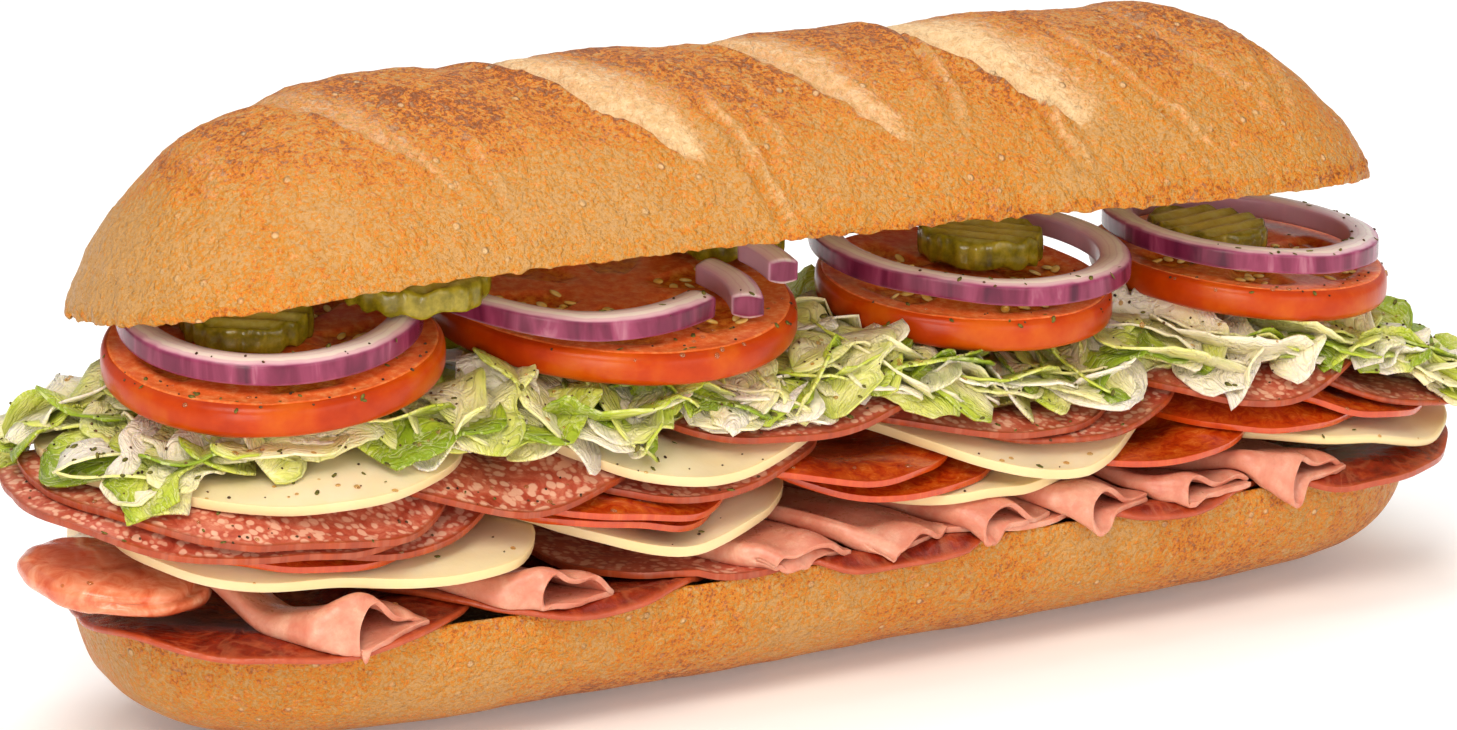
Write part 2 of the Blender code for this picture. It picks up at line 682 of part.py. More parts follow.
def build():
    """Stacks the sandwich from the bottom up."""
    clear_scene()
    collection = bpy.data.collections.new("submarine_sandwich")
    bpy.context.scene.collection.children.link(collection)
    looks = make_materials()
    pile = Pile()
    make_heel(pile, looks["crust"], collection)
    lay_slices("capicola", 1, CAPICOLA, MEAT_THICKNESS, pile, looks["capicola"], collection)
    lay_nose("capicola_6", FOLDED_CUT, pile, looks["capicola"], collection)
    lay_slices("salami", 1, LOWEST_SALAMI, MEAT_THICKNESS, pile, looks["salami"], collection)
    lay_slices("ham", 1, FLAT_HAM, MEAT_THICKNESS, pile, looks["ham"], collection)
    for index, spot in enumerate(HAM_FOLDS):
        lay_fold(f"ham_{index + 2}", spot, pile, looks["ham"], collection)
    lay_slices("cheese", 1, LOW_CHEESE, CHEESE_THICKNESS, pile, looks["cheese"], collection)
    lay_slices("pepperoni", 1, PEPPERONI, MEAT_THICKNESS, pile, looks["pepperoni"], collection)
    lay_slices("salami", 2, LOW_SALAMI, MEAT_THICKNESS, pile, looks["salami"], collection)
    lay_slices("cheese", 5, MID_CHEESE, CHEESE_THICKNESS, pile, looks["cheese"], collection)
    lay_slices("salami", 7, MID_SALAMI, MEAT_THICKNESS, pile, looks["salami"], collection)
    lay_slices("cheese", 6, HIGH_CHEESE, CHEESE_THICKNESS, pile, looks["cheese"], collection)
    lay_slices("salami", 11, HIGH_SALAMI, MEAT_THICKNESS, pile, looks["salami"], collection)
    make_lettuce(pile, looks["lettuce"], collection)
    for index, spot in enumerate(TOMATOES):
        lay_disc(f"tomato_{index + 1}", spot, 20, pile, looks["tomato"], collection)
    for index, spot in enumerate(ONION_RINGS):
        lay_onion(f"onion_ring_{index + 1}", spot, pile, looks["onion"], collection)
    for index, spot in enumerate(ONION_BITS):
        lay_onion(f"onion_bit_{index + 1}", spot, pile, looks["onion"], collection)
    for index, spot in enumerate(PICKLES):
        lay_disc(f"pickle_{index + 1}", spot, 14, pile, looks["pickle"], collection)
    make_crown(pile, looks["crust"], collection)


build()
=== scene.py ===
"""Submarine sandwich: a baked roll, cold cuts, provolone, shredded lettuce, tomato, red
onion, pickles, herbs and oil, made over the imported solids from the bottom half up."""
import json
import math
import random

import bpy
import numpy as np
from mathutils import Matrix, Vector, noise
from mathutils.bvhtree import BVHTree

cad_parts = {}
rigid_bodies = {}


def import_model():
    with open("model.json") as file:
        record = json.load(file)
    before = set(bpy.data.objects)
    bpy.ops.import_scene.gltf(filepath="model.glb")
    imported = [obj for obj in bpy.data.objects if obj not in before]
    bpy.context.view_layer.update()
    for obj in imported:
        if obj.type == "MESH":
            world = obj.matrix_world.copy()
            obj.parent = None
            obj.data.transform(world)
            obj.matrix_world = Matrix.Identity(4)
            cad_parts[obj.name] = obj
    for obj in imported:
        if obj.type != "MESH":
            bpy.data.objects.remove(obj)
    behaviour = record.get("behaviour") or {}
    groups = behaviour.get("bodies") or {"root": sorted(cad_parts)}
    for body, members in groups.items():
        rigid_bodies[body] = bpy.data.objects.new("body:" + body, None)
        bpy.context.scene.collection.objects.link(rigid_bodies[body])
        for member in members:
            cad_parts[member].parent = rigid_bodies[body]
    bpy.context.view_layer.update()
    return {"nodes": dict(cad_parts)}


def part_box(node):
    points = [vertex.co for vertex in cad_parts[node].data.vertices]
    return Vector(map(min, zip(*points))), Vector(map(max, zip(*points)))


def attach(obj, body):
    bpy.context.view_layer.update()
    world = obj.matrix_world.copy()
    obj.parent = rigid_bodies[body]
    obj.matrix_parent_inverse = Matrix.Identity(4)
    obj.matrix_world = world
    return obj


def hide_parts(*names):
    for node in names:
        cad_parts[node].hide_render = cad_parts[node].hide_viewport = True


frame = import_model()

MM = 0.001


# ------------------------------------------------------------ the bottom half of the roll
# A plain wheat roll, baked on a tray: thin golden crust, browner where it touched the
# metal, and a pale torn crumb on the cut face that the filling has pressed in.

def linear(code):
    """An sRGB hex colour as linear RGBA."""
    parts = [int(code[step:step + 2], 16) / 255 for step in (1, 3, 5)]
    return [p / 12.92 if p <= 0.04045 else ((p + 0.055) / 1.055) ** 2.4 for p in parts] + [1]


def new_look(name, **settings):
    """A Principled material with its constants, hex colours among them, on the shader's sockets."""
    look = bpy.data.materials.new(name)
    look.use_nodes = True
    shader = look.node_tree.nodes["Principled BSDF"]
    for socket, value in settings.items():
        value = linear(value) if isinstance(value, str) else value
        shader.inputs[socket.replace("_", " ")].default_value = value
    return look, shader


def add(look, kind, sockets=None, out=0, **properties):
    """Adds a node and gives one of its outputs; a socket takes a number, a colour or an output."""
    node = look.node_tree.nodes.new("ShaderNode" + kind)
    for name, value in properties.items():
        if name == "stops":
            ramp = node.color_ramp
            for place, _ in value[2:]:
                ramp.elements.new(place)
            for element, (place, colour) in zip(ramp.elements, value):
                element.position = place
                element.color = linear(colour) if isinstance(colour, str) else (*[colour] * 3, 1)
        else:
            setattr(node, name, value)
    for name, value in (sockets or {}).items():
        if isinstance(value, bpy.types.NodeSocket):
            look.node_tree.links.new(value, node.inputs[name])
        else:
            node.inputs[name].default_value = linear(value) if isinstance(value, str) else value
    return node.outputs[out]


def wire(look, shader, **sources):
    """Links outputs to the shader's sockets."""
    for socket, source in sources.items():
        look.node_tree.links.new(source, shader.inputs[socket.replace("_", " ")])


def new_piece(mesh):
    """A mesh as a piece in the scene, named like the mesh."""
    piece = bpy.data.objects.new(mesh.name, mesh)
    bpy.context.scene.collection.objects.link(piece)
    return piece


def primitive(kind, **settings):
    """Adds a primitive, with nothing else selected, and gives the new object."""
    bpy.ops.object.select_all(action="DESELECT")
    getattr(bpy.ops.mesh, f"primitive_{kind}_add")(**settings)
    return bpy.context.active_object


def alone(piece):
    """Selects this piece only, and makes it active."""
    bpy.ops.object.select_all(action="DESELECT")
    piece.select_set(True)
    bpy.context.view_layer.objects.active = piece


def apply(piece, kind, **settings):
    """Adds a modifier and applies it."""
    alone(piece)
    modifier = piece.modifiers.new(kind.lower(), kind)
    for name, value in settings.items():
        setattr(modifier, name, value)
    bpy.ops.object.modifier_apply(modifier=modifier.name)


def subdivide(piece, levels):
    """Catmull-Clark rounding, applied."""
    apply(piece, "SUBSURF", levels=levels, render_levels=levels)


def points_of(piece):
    """A mesh's points as an array."""
    points = np.zeros(len(piece.data.vertices) * 3)
    piece.data.vertices.foreach_get("co", points)
    return points.reshape(-1, 3)


def normals_of(piece):
    """A mesh's point normals as an array."""
    return np.array([vert.normal[:] for vert in piece.data.vertices])


def move_points(piece, points):
    """Gives a mesh new places for its points."""
    piece.data.vertices.foreach_set("co", np.asarray(points, float).ravel())
    piece.data.update()


def mark(piece, name, values):
    """Stores one number for each point, for the material to read."""
    layer = piece.data.attributes.get(name) or piece.data.attributes.new(name, "FLOAT", "POINT")
    layer.data.foreach_set("value", np.asarray(values, float))


def mark_flat(piece, places):
    """Stores each point's place before bending, so that a pattern follows the sheet."""
    layer = piece.data.attributes.new("flat", "FLOAT_VECTOR", "POINT")
    layer.data.foreach_set("vector", places.ravel())


def marks_of(piece, name):
    """The numbers stored on each point."""
    values = np.zeros(len(piece.data.vertices))
    piece.data.attributes[name].data.foreach_get("value", values)
    return values


def cloud(points, size, seed, octaves=1):
    """Soft noise from -1 to 1 at each point, its lumps about size metres across."""
    shift = Vector((seed * 3.17, seed * 1.91, seed * 2.53))
    spots = [Vector(point) / size + shift for point in points]
    if octaves == 1:
        return np.array([noise.noise(spot) for spot in spots])
    return np.array([noise.fractal(spot, 0.7, 2.1, octaves) for spot in spots])


def drift(points, sizes, seed):
    """A soft random shift in each of x, y and z, with its own size and seed."""
    return np.stack([cloud(points, size, seed + 10 * number) for number, size in enumerate(sizes)], axis=1)


def smooth_step(values, low, high):
    """0 below low, 1 above high, and an S curve between them."""
    share = np.clip((values - low) / (high - low), 0, 1)
    return share * share * (3 - 2 * share)


def node_copy(node, name):
    """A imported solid's mesh as a new piece, merged and turned back into quads."""
    mesh = bpy.data.meshes.new(name)
    source = frame["nodes"][node].data
    mesh.from_pydata([vert.co[:] for vert in source.vertices], [],
                     [face.vertices[:] for face in source.polygons])
    piece = new_piece(mesh)
    alone(piece)
    bpy.ops.object.mode_set(mode="EDIT")
    bpy.ops.mesh.select_all(action="SELECT")
    bpy.ops.mesh.remove_doubles(threshold=0.00002)
    bpy.ops.mesh.tris_convert_to_quads(face_threshold=math.radians(60),
                                       shape_threshold=math.radians(60))
    bpy.ops.object.mode_set(mode="OBJECT")
    return piece


def finish_piece(piece, look, slot, *nodes):
    piece.data.materials.clear()
    piece.data.materials.append(look)
    alone(piece)
    bpy.ops.object.shade_smooth()
    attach(piece, "root")
    if nodes:
        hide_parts(*nodes)


def mark_crumb(piece, up):
    """Marks the points of the cut face, which looks up or down, before it is subdivided."""
    cut = np.ones(len(piece.data.vertices))
    for face in piece.data.polygons:
        if face.normal.z * up < 0.3:
            cut[list(face.vertices)] = 0
    mark(piece, "crumb", cut)


crust_colours = {"beige": "#BE8E52", "golden": "#BA7F2A", "toasted": "#CE7810", "brown": "#AC580A",
                 "dark": "#84440E", "slash": "#E6C494", "crumb": "#E2CA9C", "crumb shade": "#C9A363"}


def make_crust(name):
    """Baked wheat crust: dry, thin and finely wrinkled, satin where it stretched tight."""
    look, shader = new_look(name, Specular_IOR_Level=0.35, IOR=1.45)
    place = add(look, "TexCoord", out="Object")
    toast, slash, crumb = [add(look, "Attribute", out="Fac", attribute_name=layer)
                           for layer in ("toast", "slash", "crumb")]
    # patches 15 mm across, mottling of 2 mm and specks under a millimetre
    patch = add(look, "TexNoise", {"Vector": place, "Scale": 65.0, "Detail": 6.0, "Roughness": 0.62,
                                   "Distortion": 0.6})
    mottle = add(look, "TexNoise", {"Vector": place, "Scale": 560.0, "Detail": 4.0, "Roughness": 0.72,
                                    "Distortion": 0.6})
    speck = add(look, "TexNoise", {"Vector": place, "Scale": 1300.0, "Detail": 2.0, "Roughness": 0.6})
    amount = add(look, "MapRange", {0: patch, 1: 0.3, 2: 0.7, 3: -0.20, 4: 0.20})
    browning = add(look, "Math", {0: toast, 1: amount})
    mottling = add(look, "MapRange", {0: mottle, 1: 0.3, 2: 0.7, 3: -1.0, 4: 1.0})
    amount = add(look, "MapRange", {0: toast, 1: 0.22, 2: 0.65, 3: 0.27, 4: 0.92})
    uneven = add(look, "Math", {0: mottling, 1: amount}, operation="MULTIPLY")
    browning = add(look, "Math", {0: browning, 1: uneven})
    amount = add(look, "MapRange", {0: speck, 1: 0.3, 2: 0.7, 3: -0.38, 4: 0.38})
    browning = add(look, "Math", {0: browning, 1: amount})
    stops = [(0.0, crust_colours["beige"]), (0.26, crust_colours["golden"]),
             (0.50, crust_colours["toasted"]), (0.80, crust_colours["brown"]),
             (1.0, crust_colours["dark"])]
    crust = add(look, "ValToRGB", {"Fac": browning}, stops=stops)
    # pale blisters 1 to 2 mm wide where the skin lifted; their pale colour is partly a painted highlight on
    # the glossy bumps
    blister = add(look, "TexVoronoi", {"Vector": place, "Scale": 190.0, "Randomness": 1.0})
    blister = add(look, "MapRange", {0: blister, 1: 0.10, 2: 0.17, 3: 1.0, 4: 0.0})
    amount = add(look, "MapRange", {0: patch, 1: 0.46, 2: 0.56})
    lifted = add(look, "Math", {0: blister, 1: amount}, operation="MULTIPLY")
    amount = add(look, "Math", {0: lifted, 1: 0.55}, operation="MULTIPLY")
    crust = add(look, "Mix", {0: amount, 6: crust, 7: crust_colours["slash"]}, out=2, data_type="RGBA")
    bent = add(look, "TexNoise", {"Vector": place, "Scale": 120.0, "Detail": 3.0}, out=1)
    bent = add(look, "Mix", {0: 0.012, 6: place, 7: bent}, out=2, data_type="RGBA", blend_type="ADD")
    amount = add(look, "MapRange", {0: mottle, 1: 0.3, 2: 0.7, 3: -0.45, 4: 0.45})
    torn = add(look, "Math", {0: slash, 1: amount})
    amount = add(look, "MapRange", {0: torn, 1: 0.15, 2: 1.10})
    crust = add(look, "Mix", {0: amount, 6: crust, 7: crust_colours["slash"]}, out=2, data_type="RGBA")
    amount = add(look, "MapRange", {0: mottle, 1: 0.4, 2: 0.62})
    inside = add(look, "Mix", {0: amount, 6: crust_colours["crumb"], 7: crust_colours["crumb shade"]},
                 out=2, data_type="RGBA")
    amount = add(look, "MapRange", {0: crumb, 1: 0.35, 2: 0.7})
    colour = add(look, "Mix", {0: amount, 6: crust, 7: inside}, out=2, data_type="RGBA")
    wire(look, shader, Base_Color=colour)
    wire(look, shader, Roughness=add(look, "MapRange", {0: mottle, 1: 0.3, 2: 0.7, 3: 0.30, 4: 0.54}))
    # wrinkles and small bubbles about 2 mm apart, with the specks standing out a little
    wrinkle = add(look, "TexNoise", {"Vector": place, "Scale": 240.0, "Detail": 4.0, "Roughness": 0.6,
                                     "Distortion": 0.8})
    bubble = add(look, "TexVoronoi", {"Vector": bent, "Scale": 460.0}, feature="SMOOTH_F1")
    ridge = add(look, "Math", {0: wrinkle, 1: 0.5}, operation="SUBTRACT")
    ridge = add(look, "Math", {0: ridge}, operation="ABSOLUTE")
    amount = add(look, "MapRange", {0: ridge, 1: 0.0, 2: 0.12, 3: 0.0, 4: 0.35})
    skin = add(look, "Math", {0: amount, 1: speck})
    amount = add(look, "MapRange", {0: bubble, 1: 0.1, 2: 0.7, 3: 0.7, 4: 0.0})
    skin = add(look, "Math", {0: skin, 1: amount})
    skin = add(look, "Math", {0: skin, 1: lifted})
    wire(look, shader, Normal=add(look, "Bump", {"Height": skin, "Distance": 0.0006, "Strength": 1.0}))
    return look


crust_look = make_crust("baked_crust")

BOTTOM_HEIGHT = 0.029
roll_bottom = node_copy("bread_bottom", "roll_bottom")
mark_crumb(roll_bottom, 1)
subdivide(roll_bottom, 3)
points, outward = points_of(roll_bottom), normals_of(roll_bottom)
crumb = marks_of(roll_bottom, "crumb")
swell = 0.5 * MM * cloud(points, 0.030, 1) + 0.25 * MM * cloud(points, 0.008, 2)
crumbly = crumb * (0.7 * MM * cloud(points, 0.0045, 3, 3) - 0.3 * MM)
move_points(roll_bottom, points + outward * (swell * (1 - crumb) + crumbly)[:, None])
flat = points[:, 2] < 0.4 * MM
settled = points_of(roll_bottom)
settled[flat, 2] = 0
settled[:, 2] = np.maximum(settled[:, 2], 0)
move_points(roll_bottom, settled)
height = points[:, 2] / BOTTOM_HEIGHT
tray_brown = 0.42 * (1 - smooth_step(height, 0.02, 0.42))
mark(roll_bottom, "toast", 0.26 + tray_brown + 0.34 * cloud(points, 0.028, 4)
     + 0.14 * smooth_step(height, 0.75, 0.95))
mark(roll_bottom, "slash", np.zeros(len(points)))
finish_piece(roll_bottom, crust_look, "crust", "bread_bottom")


# ------------------------------------------------------------ capicola
# Cured pork neck, sliced thin across the grain: dark red muscle with white fat running
# through it, greasy. The slices lie flat on the bottom half and hang a little over it.

BED_START = np.array((-0.200, -0.075))
BED_CELL = 0.001
bed = np.zeros((400, 150))


def cells_of(spots):
    """The grid cell that each spot lies in."""
    return ((spots[:, :2] - BED_START) / BED_CELL).astype(int)


def grid_value(grid, spots):
    """The grid's value at each spot."""
    cells = np.clip(cells_of(spots), 0, np.array(grid.shape) - 1)
    return grid[cells[:, 0], cells[:, 1]]


def stamp(grid, piece, keep, steps):
    """Keeps in each cell the highest or lowest spot of a mesh, steps spots to an edge."""
    piece.data.calc_loop_triangles()
    corners = points_of(piece)[[tri.vertices[:] for tri in piece.data.loop_triangles]]
    for one in range(steps + 1):
        for two in range(steps + 1 - one):
            share = np.array((one, two, steps - one - two)) / steps
            spots = np.tensordot(share, corners, axes=(0, 1))
            cells = cells_of(spots)
            inside = ((cells >= 0) & (cells < grid.shape)).all(axis=1)
            keep.at(grid, tuple(cells[inside].T), spots[inside, 2])


def raise_bed(piece):
    """Marks how high a finished piece stands over each cell of the bed."""
    stamp(bed, piece, np.maximum, 4)


def bed_under(points):
    """The highest cell of the bed round each point."""
    padded = np.pad(bed, 1, mode="edge")
    grown = bed.copy()
    for across in range(3):
        for along in range(3):
            part = padded[across:across + bed.shape[0], along:along + bed.shape[1]]
            grown = np.maximum(grown, part)
    return grid_value(grown, points)


raise_bed(roll_bottom)

SLICE_SIDES = 108
slice_rings = [0.09, 0.20, 0.31, 0.42, 0.52, 0.61, 0.69, 0.76, 0.82, 0.87, 0.915, 0.95, 0.98, 1.0]


def make_blank():
    """A flat disc of radius 1: the blank that every slice is shaped from."""
    disc = primitive("circle", vertices=SLICE_SIDES, radius=slice_rings[0], fill_type="TRIFAN",
                     enter_editmode=True)
    for inner, outer in zip(slice_rings, slice_rings[1:]):
        bpy.ops.mesh.select_all(action="DESELECT")
        bpy.ops.mesh.select_non_manifold(extend=False, use_wire=False, use_boundary=True,
                                         use_multi_face=False, use_non_contiguous=False,
                                         use_verts=False)
        bpy.ops.mesh.extrude_edges_move()
        bpy.ops.transform.resize(value=(outer / inner, outer / inner, 1))
    bpy.ops.object.mode_set(mode="OBJECT")
    return disc


blank = make_blank()
blank_points = points_of(blank)
blank_reach = np.hypot(blank_points[:, 0], blank_points[:, 1])
blank_angle = np.arctan2(blank_points[:, 1], blank_points[:, 0])
blank_edges = np.array([edge.vertices[:] for edge in blank.data.edges])
blank_counts = np.bincount(blank_edges.ravel(), minlength=len(blank_points))


def averaged(values):
    """Each point of the blank's value, averaged with its neighbours'."""
    total = np.zeros(len(values))
    np.add.at(total, blank_edges[:, 0], values[blank_edges[:, 1]])
    np.add.at(total, blank_edges[:, 1], values[blank_edges[:, 0]])
    return 0.5 * values + 0.5 * total / blank_counts


def outline_of(node, angles, terms):
    """A round packed slice's middle, and its radius at each angle as a smooth curve."""
    points = points_of(frame["nodes"][node])
    middle = (points[:, :2].min(axis=0) + points[:, :2].max(axis=0)) / 2
    arm = points[:, :2] - middle
    reach, angle = np.hypot(arm[:, 0], arm[:, 1]), np.arctan2(arm[:, 1], arm[:, 0])
    rim = reach > 0.8 * reach.max()

    def waves(turns):
        parts = [np.ones(len(turns))]
        for term in range(1, terms + 1):
            parts += [np.cos(term * turns), np.sin(term * turns)]
        return np.stack(parts, axis=1)

    shape = np.linalg.lstsq(waves(angle[rim]), reach[rim], rcond=None)[0]
    return middle, waves(angles) @ shape


def surface_of(node):
    """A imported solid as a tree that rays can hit."""
    mesh = frame["nodes"][node].data
    return BVHTree.FromPolygons([vert.co[:] for vert in mesh.vertices],
                                [face.vertices[:] for face in mesh.polygons])


ABOVE_ALL = 0.3


def heights_on(tree, points, guess):
    """The height of the solid's upper face at each point, or of its nearest edge."""
    heights = []
    for x, y in points:
        hit = tree.ray_cast(Vector((x, y, ABOVE_ALL)), Vector((0, 0, -1)))[0]
        if hit is None:
            hit = tree.find_nearest(Vector((x, y, guess)))[0]
        heights.append(hit.z)
    return np.array(heights)


FRONT_LIMIT = -0.0485
# a slice's middle sinks this far, or until it rests on what is under it
MIDDLE_SAG = 8 * MM


def lay_slice(node, name, thickness, ruffle, look, slot, seed, sag=2.5 * MM, reach=1.0):
    """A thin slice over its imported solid: round, draped on the bed, its edge ruffled."""
    middle, radius = outline_of(node, blank_angle, 5)
    front = np.clip(-np.sin(blank_angle), 0.01, 1)
    radius = radius * (1 + (reach - 1) * front ** 0.5)
    radius = np.minimum(radius, np.maximum((middle[1] - FRONT_LIMIT) / front, 0.6 * radius))
    nick = 1 + 0.008 * cloud(np.stack([np.cos(blank_angle), np.sin(blank_angle),
                                       np.full(len(blank_angle), seed)], axis=1), 0.22, seed)
    arm = blank_points[:, :2] * (radius * nick)[:, None]
    points = np.zeros_like(blank_points)
    points[:, :2] = middle + arm
    low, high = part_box(node)
    wished = heights_on(surface_of(node), points[:, :2], (low.z + high.z) / 2) - thickness
    for _ in range(8):
        wished = averaged(wished)
    flow = np.stack([points[:, 0], points[:, 1], np.full(len(points), seed * MM)], axis=1)
    wished += ruffle * blank_reach ** 4 * (cloud(flow, 0.013, seed) + 0.15)
    wished -= sag * smooth_step(blank_reach * np.abs(np.sin(blank_angle)), 0.45, 1.0)
    wished -= MIDDLE_SAG * (1 - smooth_step(blank_reach, 0.20, 0.68))
    ground = bed_under(points) + 0.12 * MM
    for _ in range(10):
        wished = averaged(np.maximum(wished, ground))
    points[:, 2] = np.maximum(wished, ground)
    mesh = blank.data.copy()
    mesh.name = name
    piece = new_piece(mesh)
    move_points(piece, points)
    mark(piece, "rim", (1 - blank_reach) * radius * 1000)
    mark_flat(piece, np.column_stack([arm, np.full(len(arm), seed * 0.07)]))
    apply(piece, "SOLIDIFY", thickness=thickness, offset=1.0, use_even_offset=False)
    apply(piece, "BEVEL", width=0.38 * thickness, segments=2, limit_method="ANGLE",
          angle_limit=math.radians(60))
    finish_piece(piece, look, slot, node)
    raise_bed(piece)
    return piece


def lay_slices(kind, first, last, thickness, ruffle, look, seed, sag=2.5 * MM, reach=1.0):
    """The slices of one kind numbered first to last, each with a seed of its own."""
    for number in range(first, last + 1):
        lay_slice(f"{kind}_{number}", f"{kind}_slice_{number}", thickness, ruffle, look, kind,
                  seed + number, sag, reach)


def make_capicola(name):
    """Dry-cured pork: dark red lean under a film of its own fat, so it shines."""
    look, shader = new_look(name, Roughness=0.24, IOR=1.46, Specular_IOR_Level=0.6)
    place = add(look, "Attribute", out="Vector", attribute_name="flat")
    # veins of fat some 6 mm apart, bent and branching
    vein = add(look, "TexNoise", {"Vector": place, "Scale": 80.0, "Detail": 3.0, "Roughness": 0.5,
                                  "Distortion": 1.4})
    vein = add(look, "Math", {0: vein, 1: 0.5}, operation="SUBTRACT")
    vein = add(look, "Math", {0: vein}, operation="ABSOLUTE")
    lean = add(look, "TexNoise", {"Vector": place, "Scale": 260.0, "Detail": 5.0, "Roughness": 0.65})
    meat = add(look, "ValToRGB", {"Fac": lean}, stops=[(0.3, "#5E1005"), (0.55, "#8C260E"),
                                                       (0.75, "#B64A20")])
    amount = add(look, "MapRange", {0: vein, 1: 0.0, 2: 0.06, 3: 0.26, 4: 0.0})
    colour = add(look, "Mix", {0: amount, 6: meat, 7: "#CC7A50"}, out=2, data_type="RGBA")
    rim = add(look, "Attribute", out="Fac", attribute_name="rim")
    amount = add(look, "MapRange", {0: rim, 1: 0.4, 2: 1.6, 3: 0.6, 4: 0.0})
    colour = add(look, "Mix", {0: amount, 6: colour, 7: "#C4552A"}, out=2, data_type="RGBA")
    wire(look, shader, Base_Color=colour)
    wire(look, shader, Normal=add(look, "Bump", {"Height": lean, "Distance": 0.0009, "Strength": 0.7}))
    return look


capicola_look = make_capicola("capicola_lean_and_fat")
lay_slices("capicola", 1, 5, 1.3 * MM, 2.2 * MM, capicola_look, 0, 3.0 * MM, 1.14)


# ------------------------------------------------------------ the folded end slice
# One thick slice of capicola doubled over, its round back sticking out past the left end
# of the roll: rosy and oily, with painted shade making it dark orange-red underneath.

def make_cured_end(name):
    """Capicola folded with its smooth side out: rosy and oily, painted orange-red underneath as shade."""
    look, shader = new_look(name, Roughness=0.2, IOR=1.46, Specular_IOR_Level=0.6)
    place = add(look, "TexCoord", out="Object")
    rim = add(look, "Attribute", out="Fac", attribute_name="rim")
    tone = add(look, "TexNoise", {"Vector": place, "Scale": 190.0, "Detail": 5.0, "Roughness": 0.6,
                                  "Distortion": 0.8})
    meat = add(look, "ValToRGB", {"Fac": tone}, stops=[(0.30, "#C8542F"), (0.48, "#DC7C54"),
                                                       (0.64, "#E69A74"), (0.78, "#F0BC9A")])
    # painted shade: the lower half, where rim is 0, is mixed towards a dark orange-red
    amount = add(look, "MapRange", {0: rim, 1: 0.5, 2: 3.0, 3: 0.85, 4: 0.0})
    colour = add(look, "Mix", {0: amount, 6: meat, 7: "#B03A10"}, out=2, data_type="RGBA")
    wire(look, shader, Base_Color=colour)
    wire(look, shader, Normal=add(look, "Bump", {"Height": tone, "Distance": 0.0004, "Strength": 0.4}))
    return look


folded_end = node_copy("capicola_6", "capicola_folded_end")
subdivide(folded_end, 2)
points, outward = points_of(folded_end), normals_of(folded_end)
middle = points.mean(axis=0)
arm = points - middle
fold_line = np.exp(-((arm[:, 2] + 0.6 * MM * np.sin(arm[:, 1] / 0.007)) / (0.7 * MM)) ** 2)
front = smooth_step(-arm[:, 1] + 0.3 * arm[:, 0], 0.000, 0.018)
lump = 0.8 * MM * cloud(points, 0.012, 6) + 0.3 * MM * cloud(points, 0.004, 7)
move_points(folded_end, points + outward * (lump - 1.6 * MM * fold_line * front)[:, None])
# rim here is 4 on the upper half and 0 on the lower half, which the material paints darker as shade
mark(folded_end, "rim", 4 * smooth_step(arm[:, 2], -0.004, -0.001))
mark_flat(folded_end, arm)
finish_piece(folded_end, make_cured_end("cured_pork_smooth"), "capicola", "capicola_6")
raise_bed(folded_end)


# ------------------------------------------------------------ the lowest slice of salami
# Fermented pork salami: dusky red paste with small white flecks of fat and a thin
# orange-brown casing. One slice lies under the ham, and ten more go on higher up.

def make_salami(name):
    """Salami cut by machine: matt paste, moist flecks of fat 1 to 2 mm across."""
    look, shader = new_look(name, IOR=1.44, Specular_IOR_Level=0.5)
    place = add(look, "Attribute", out="Vector", attribute_name="flat")
    rim = add(look, "Attribute", out="Fac", attribute_name="rim")
    bent = add(look, "TexNoise", {"Vector": place, "Scale": 300.0, "Detail": 2.0}, out=1)
    bent = add(look, "Mix", {0: 0.0018, 6: place, 7: bent}, out=2, data_type="RGBA", blend_type="ADD")
    fleck = add(look, "TexVoronoi", {"Vector": bent, "Scale": 480.0})
    grain = add(look, "TexNoise", {"Vector": place, "Scale": 240.0, "Detail": 6.0, "Roughness": 0.72,
                                   "Distortion": 0.8})
    paste = add(look, "ValToRGB", {"Fac": grain},
                stops=[(0.30, "#98321F"), (0.47, "#B8503A"), (0.60, "#CA7056"), (0.74, "#DEA084")])
    size = add(look, "TexNoise", {"Vector": place, "Scale": 160.0})
    amount = add(look, "MapRange", {0: size, 1: 0.35, 2: 0.65, 3: -0.10, 4: 0.10})
    fat = add(look, "Math", {0: fleck, 1: amount})
    crumbs = add(look, "TexVoronoi", {"Vector": bent, "Scale": 520.0})
    amount = add(look, "MapRange", {0: crumbs, 1: 0.22, 2: 0.36, 3: 0.55, 4: 0.0})
    colour = add(look, "Mix", {0: amount, 6: paste, 7: "#E9AE90"}, out=2, data_type="RGBA")
    amount = add(look, "MapRange", {0: fat, 1: 0.34, 2: 0.47, 3: 0.75, 4: 0.0})
    colour = add(look, "Mix", {0: amount, 6: colour, 7: "#EDB99C"}, out=2, data_type="RGBA")
    amount = add(look, "MapRange", {0: grain, 1: 0.35, 2: 0.65})
    casing = add(look, "Mix", {0: amount, 6: "#B04A1E", 7: "#8A2F12"}, out=2, data_type="RGBA")
    amount = add(look, "MapRange", {0: rim, 1: 0.5, 2: 1.3, 3: 0.9, 4: 0.0})
    colour = add(look, "Mix", {0: amount, 6: colour, 7: casing}, out=2, data_type="RGBA")
    wire(look, shader, Base_Color=colour)
    wire(look, shader, Roughness=add(look, "MapRange", {0: grain, 1: 0.35, 2: 0.65, 3: 0.28, 4: 0.48}))
    wire(look, shader, Normal=add(look, "Bump", {"Height": grain, "Distance": 0.0003, "Strength": 0.45}))
    return look


salami_look = make_salami("salami_paste")


def lay_salami(first, last, sag=2.5 * MM, reach=1.0):
    """The salami slices numbered first to last."""
    lay_slices("salami", first, last, 1.3 * MM, 1.3 * MM, salami_look, 20, sag, reach)


lay_salami(1, 1)


# ------------------------------------------------------------ ham
# Cooked ham shaved thin. One slice lies flat, and eight are folded in two by hand, so
# that their open mouths hang at the front edge of the roll.

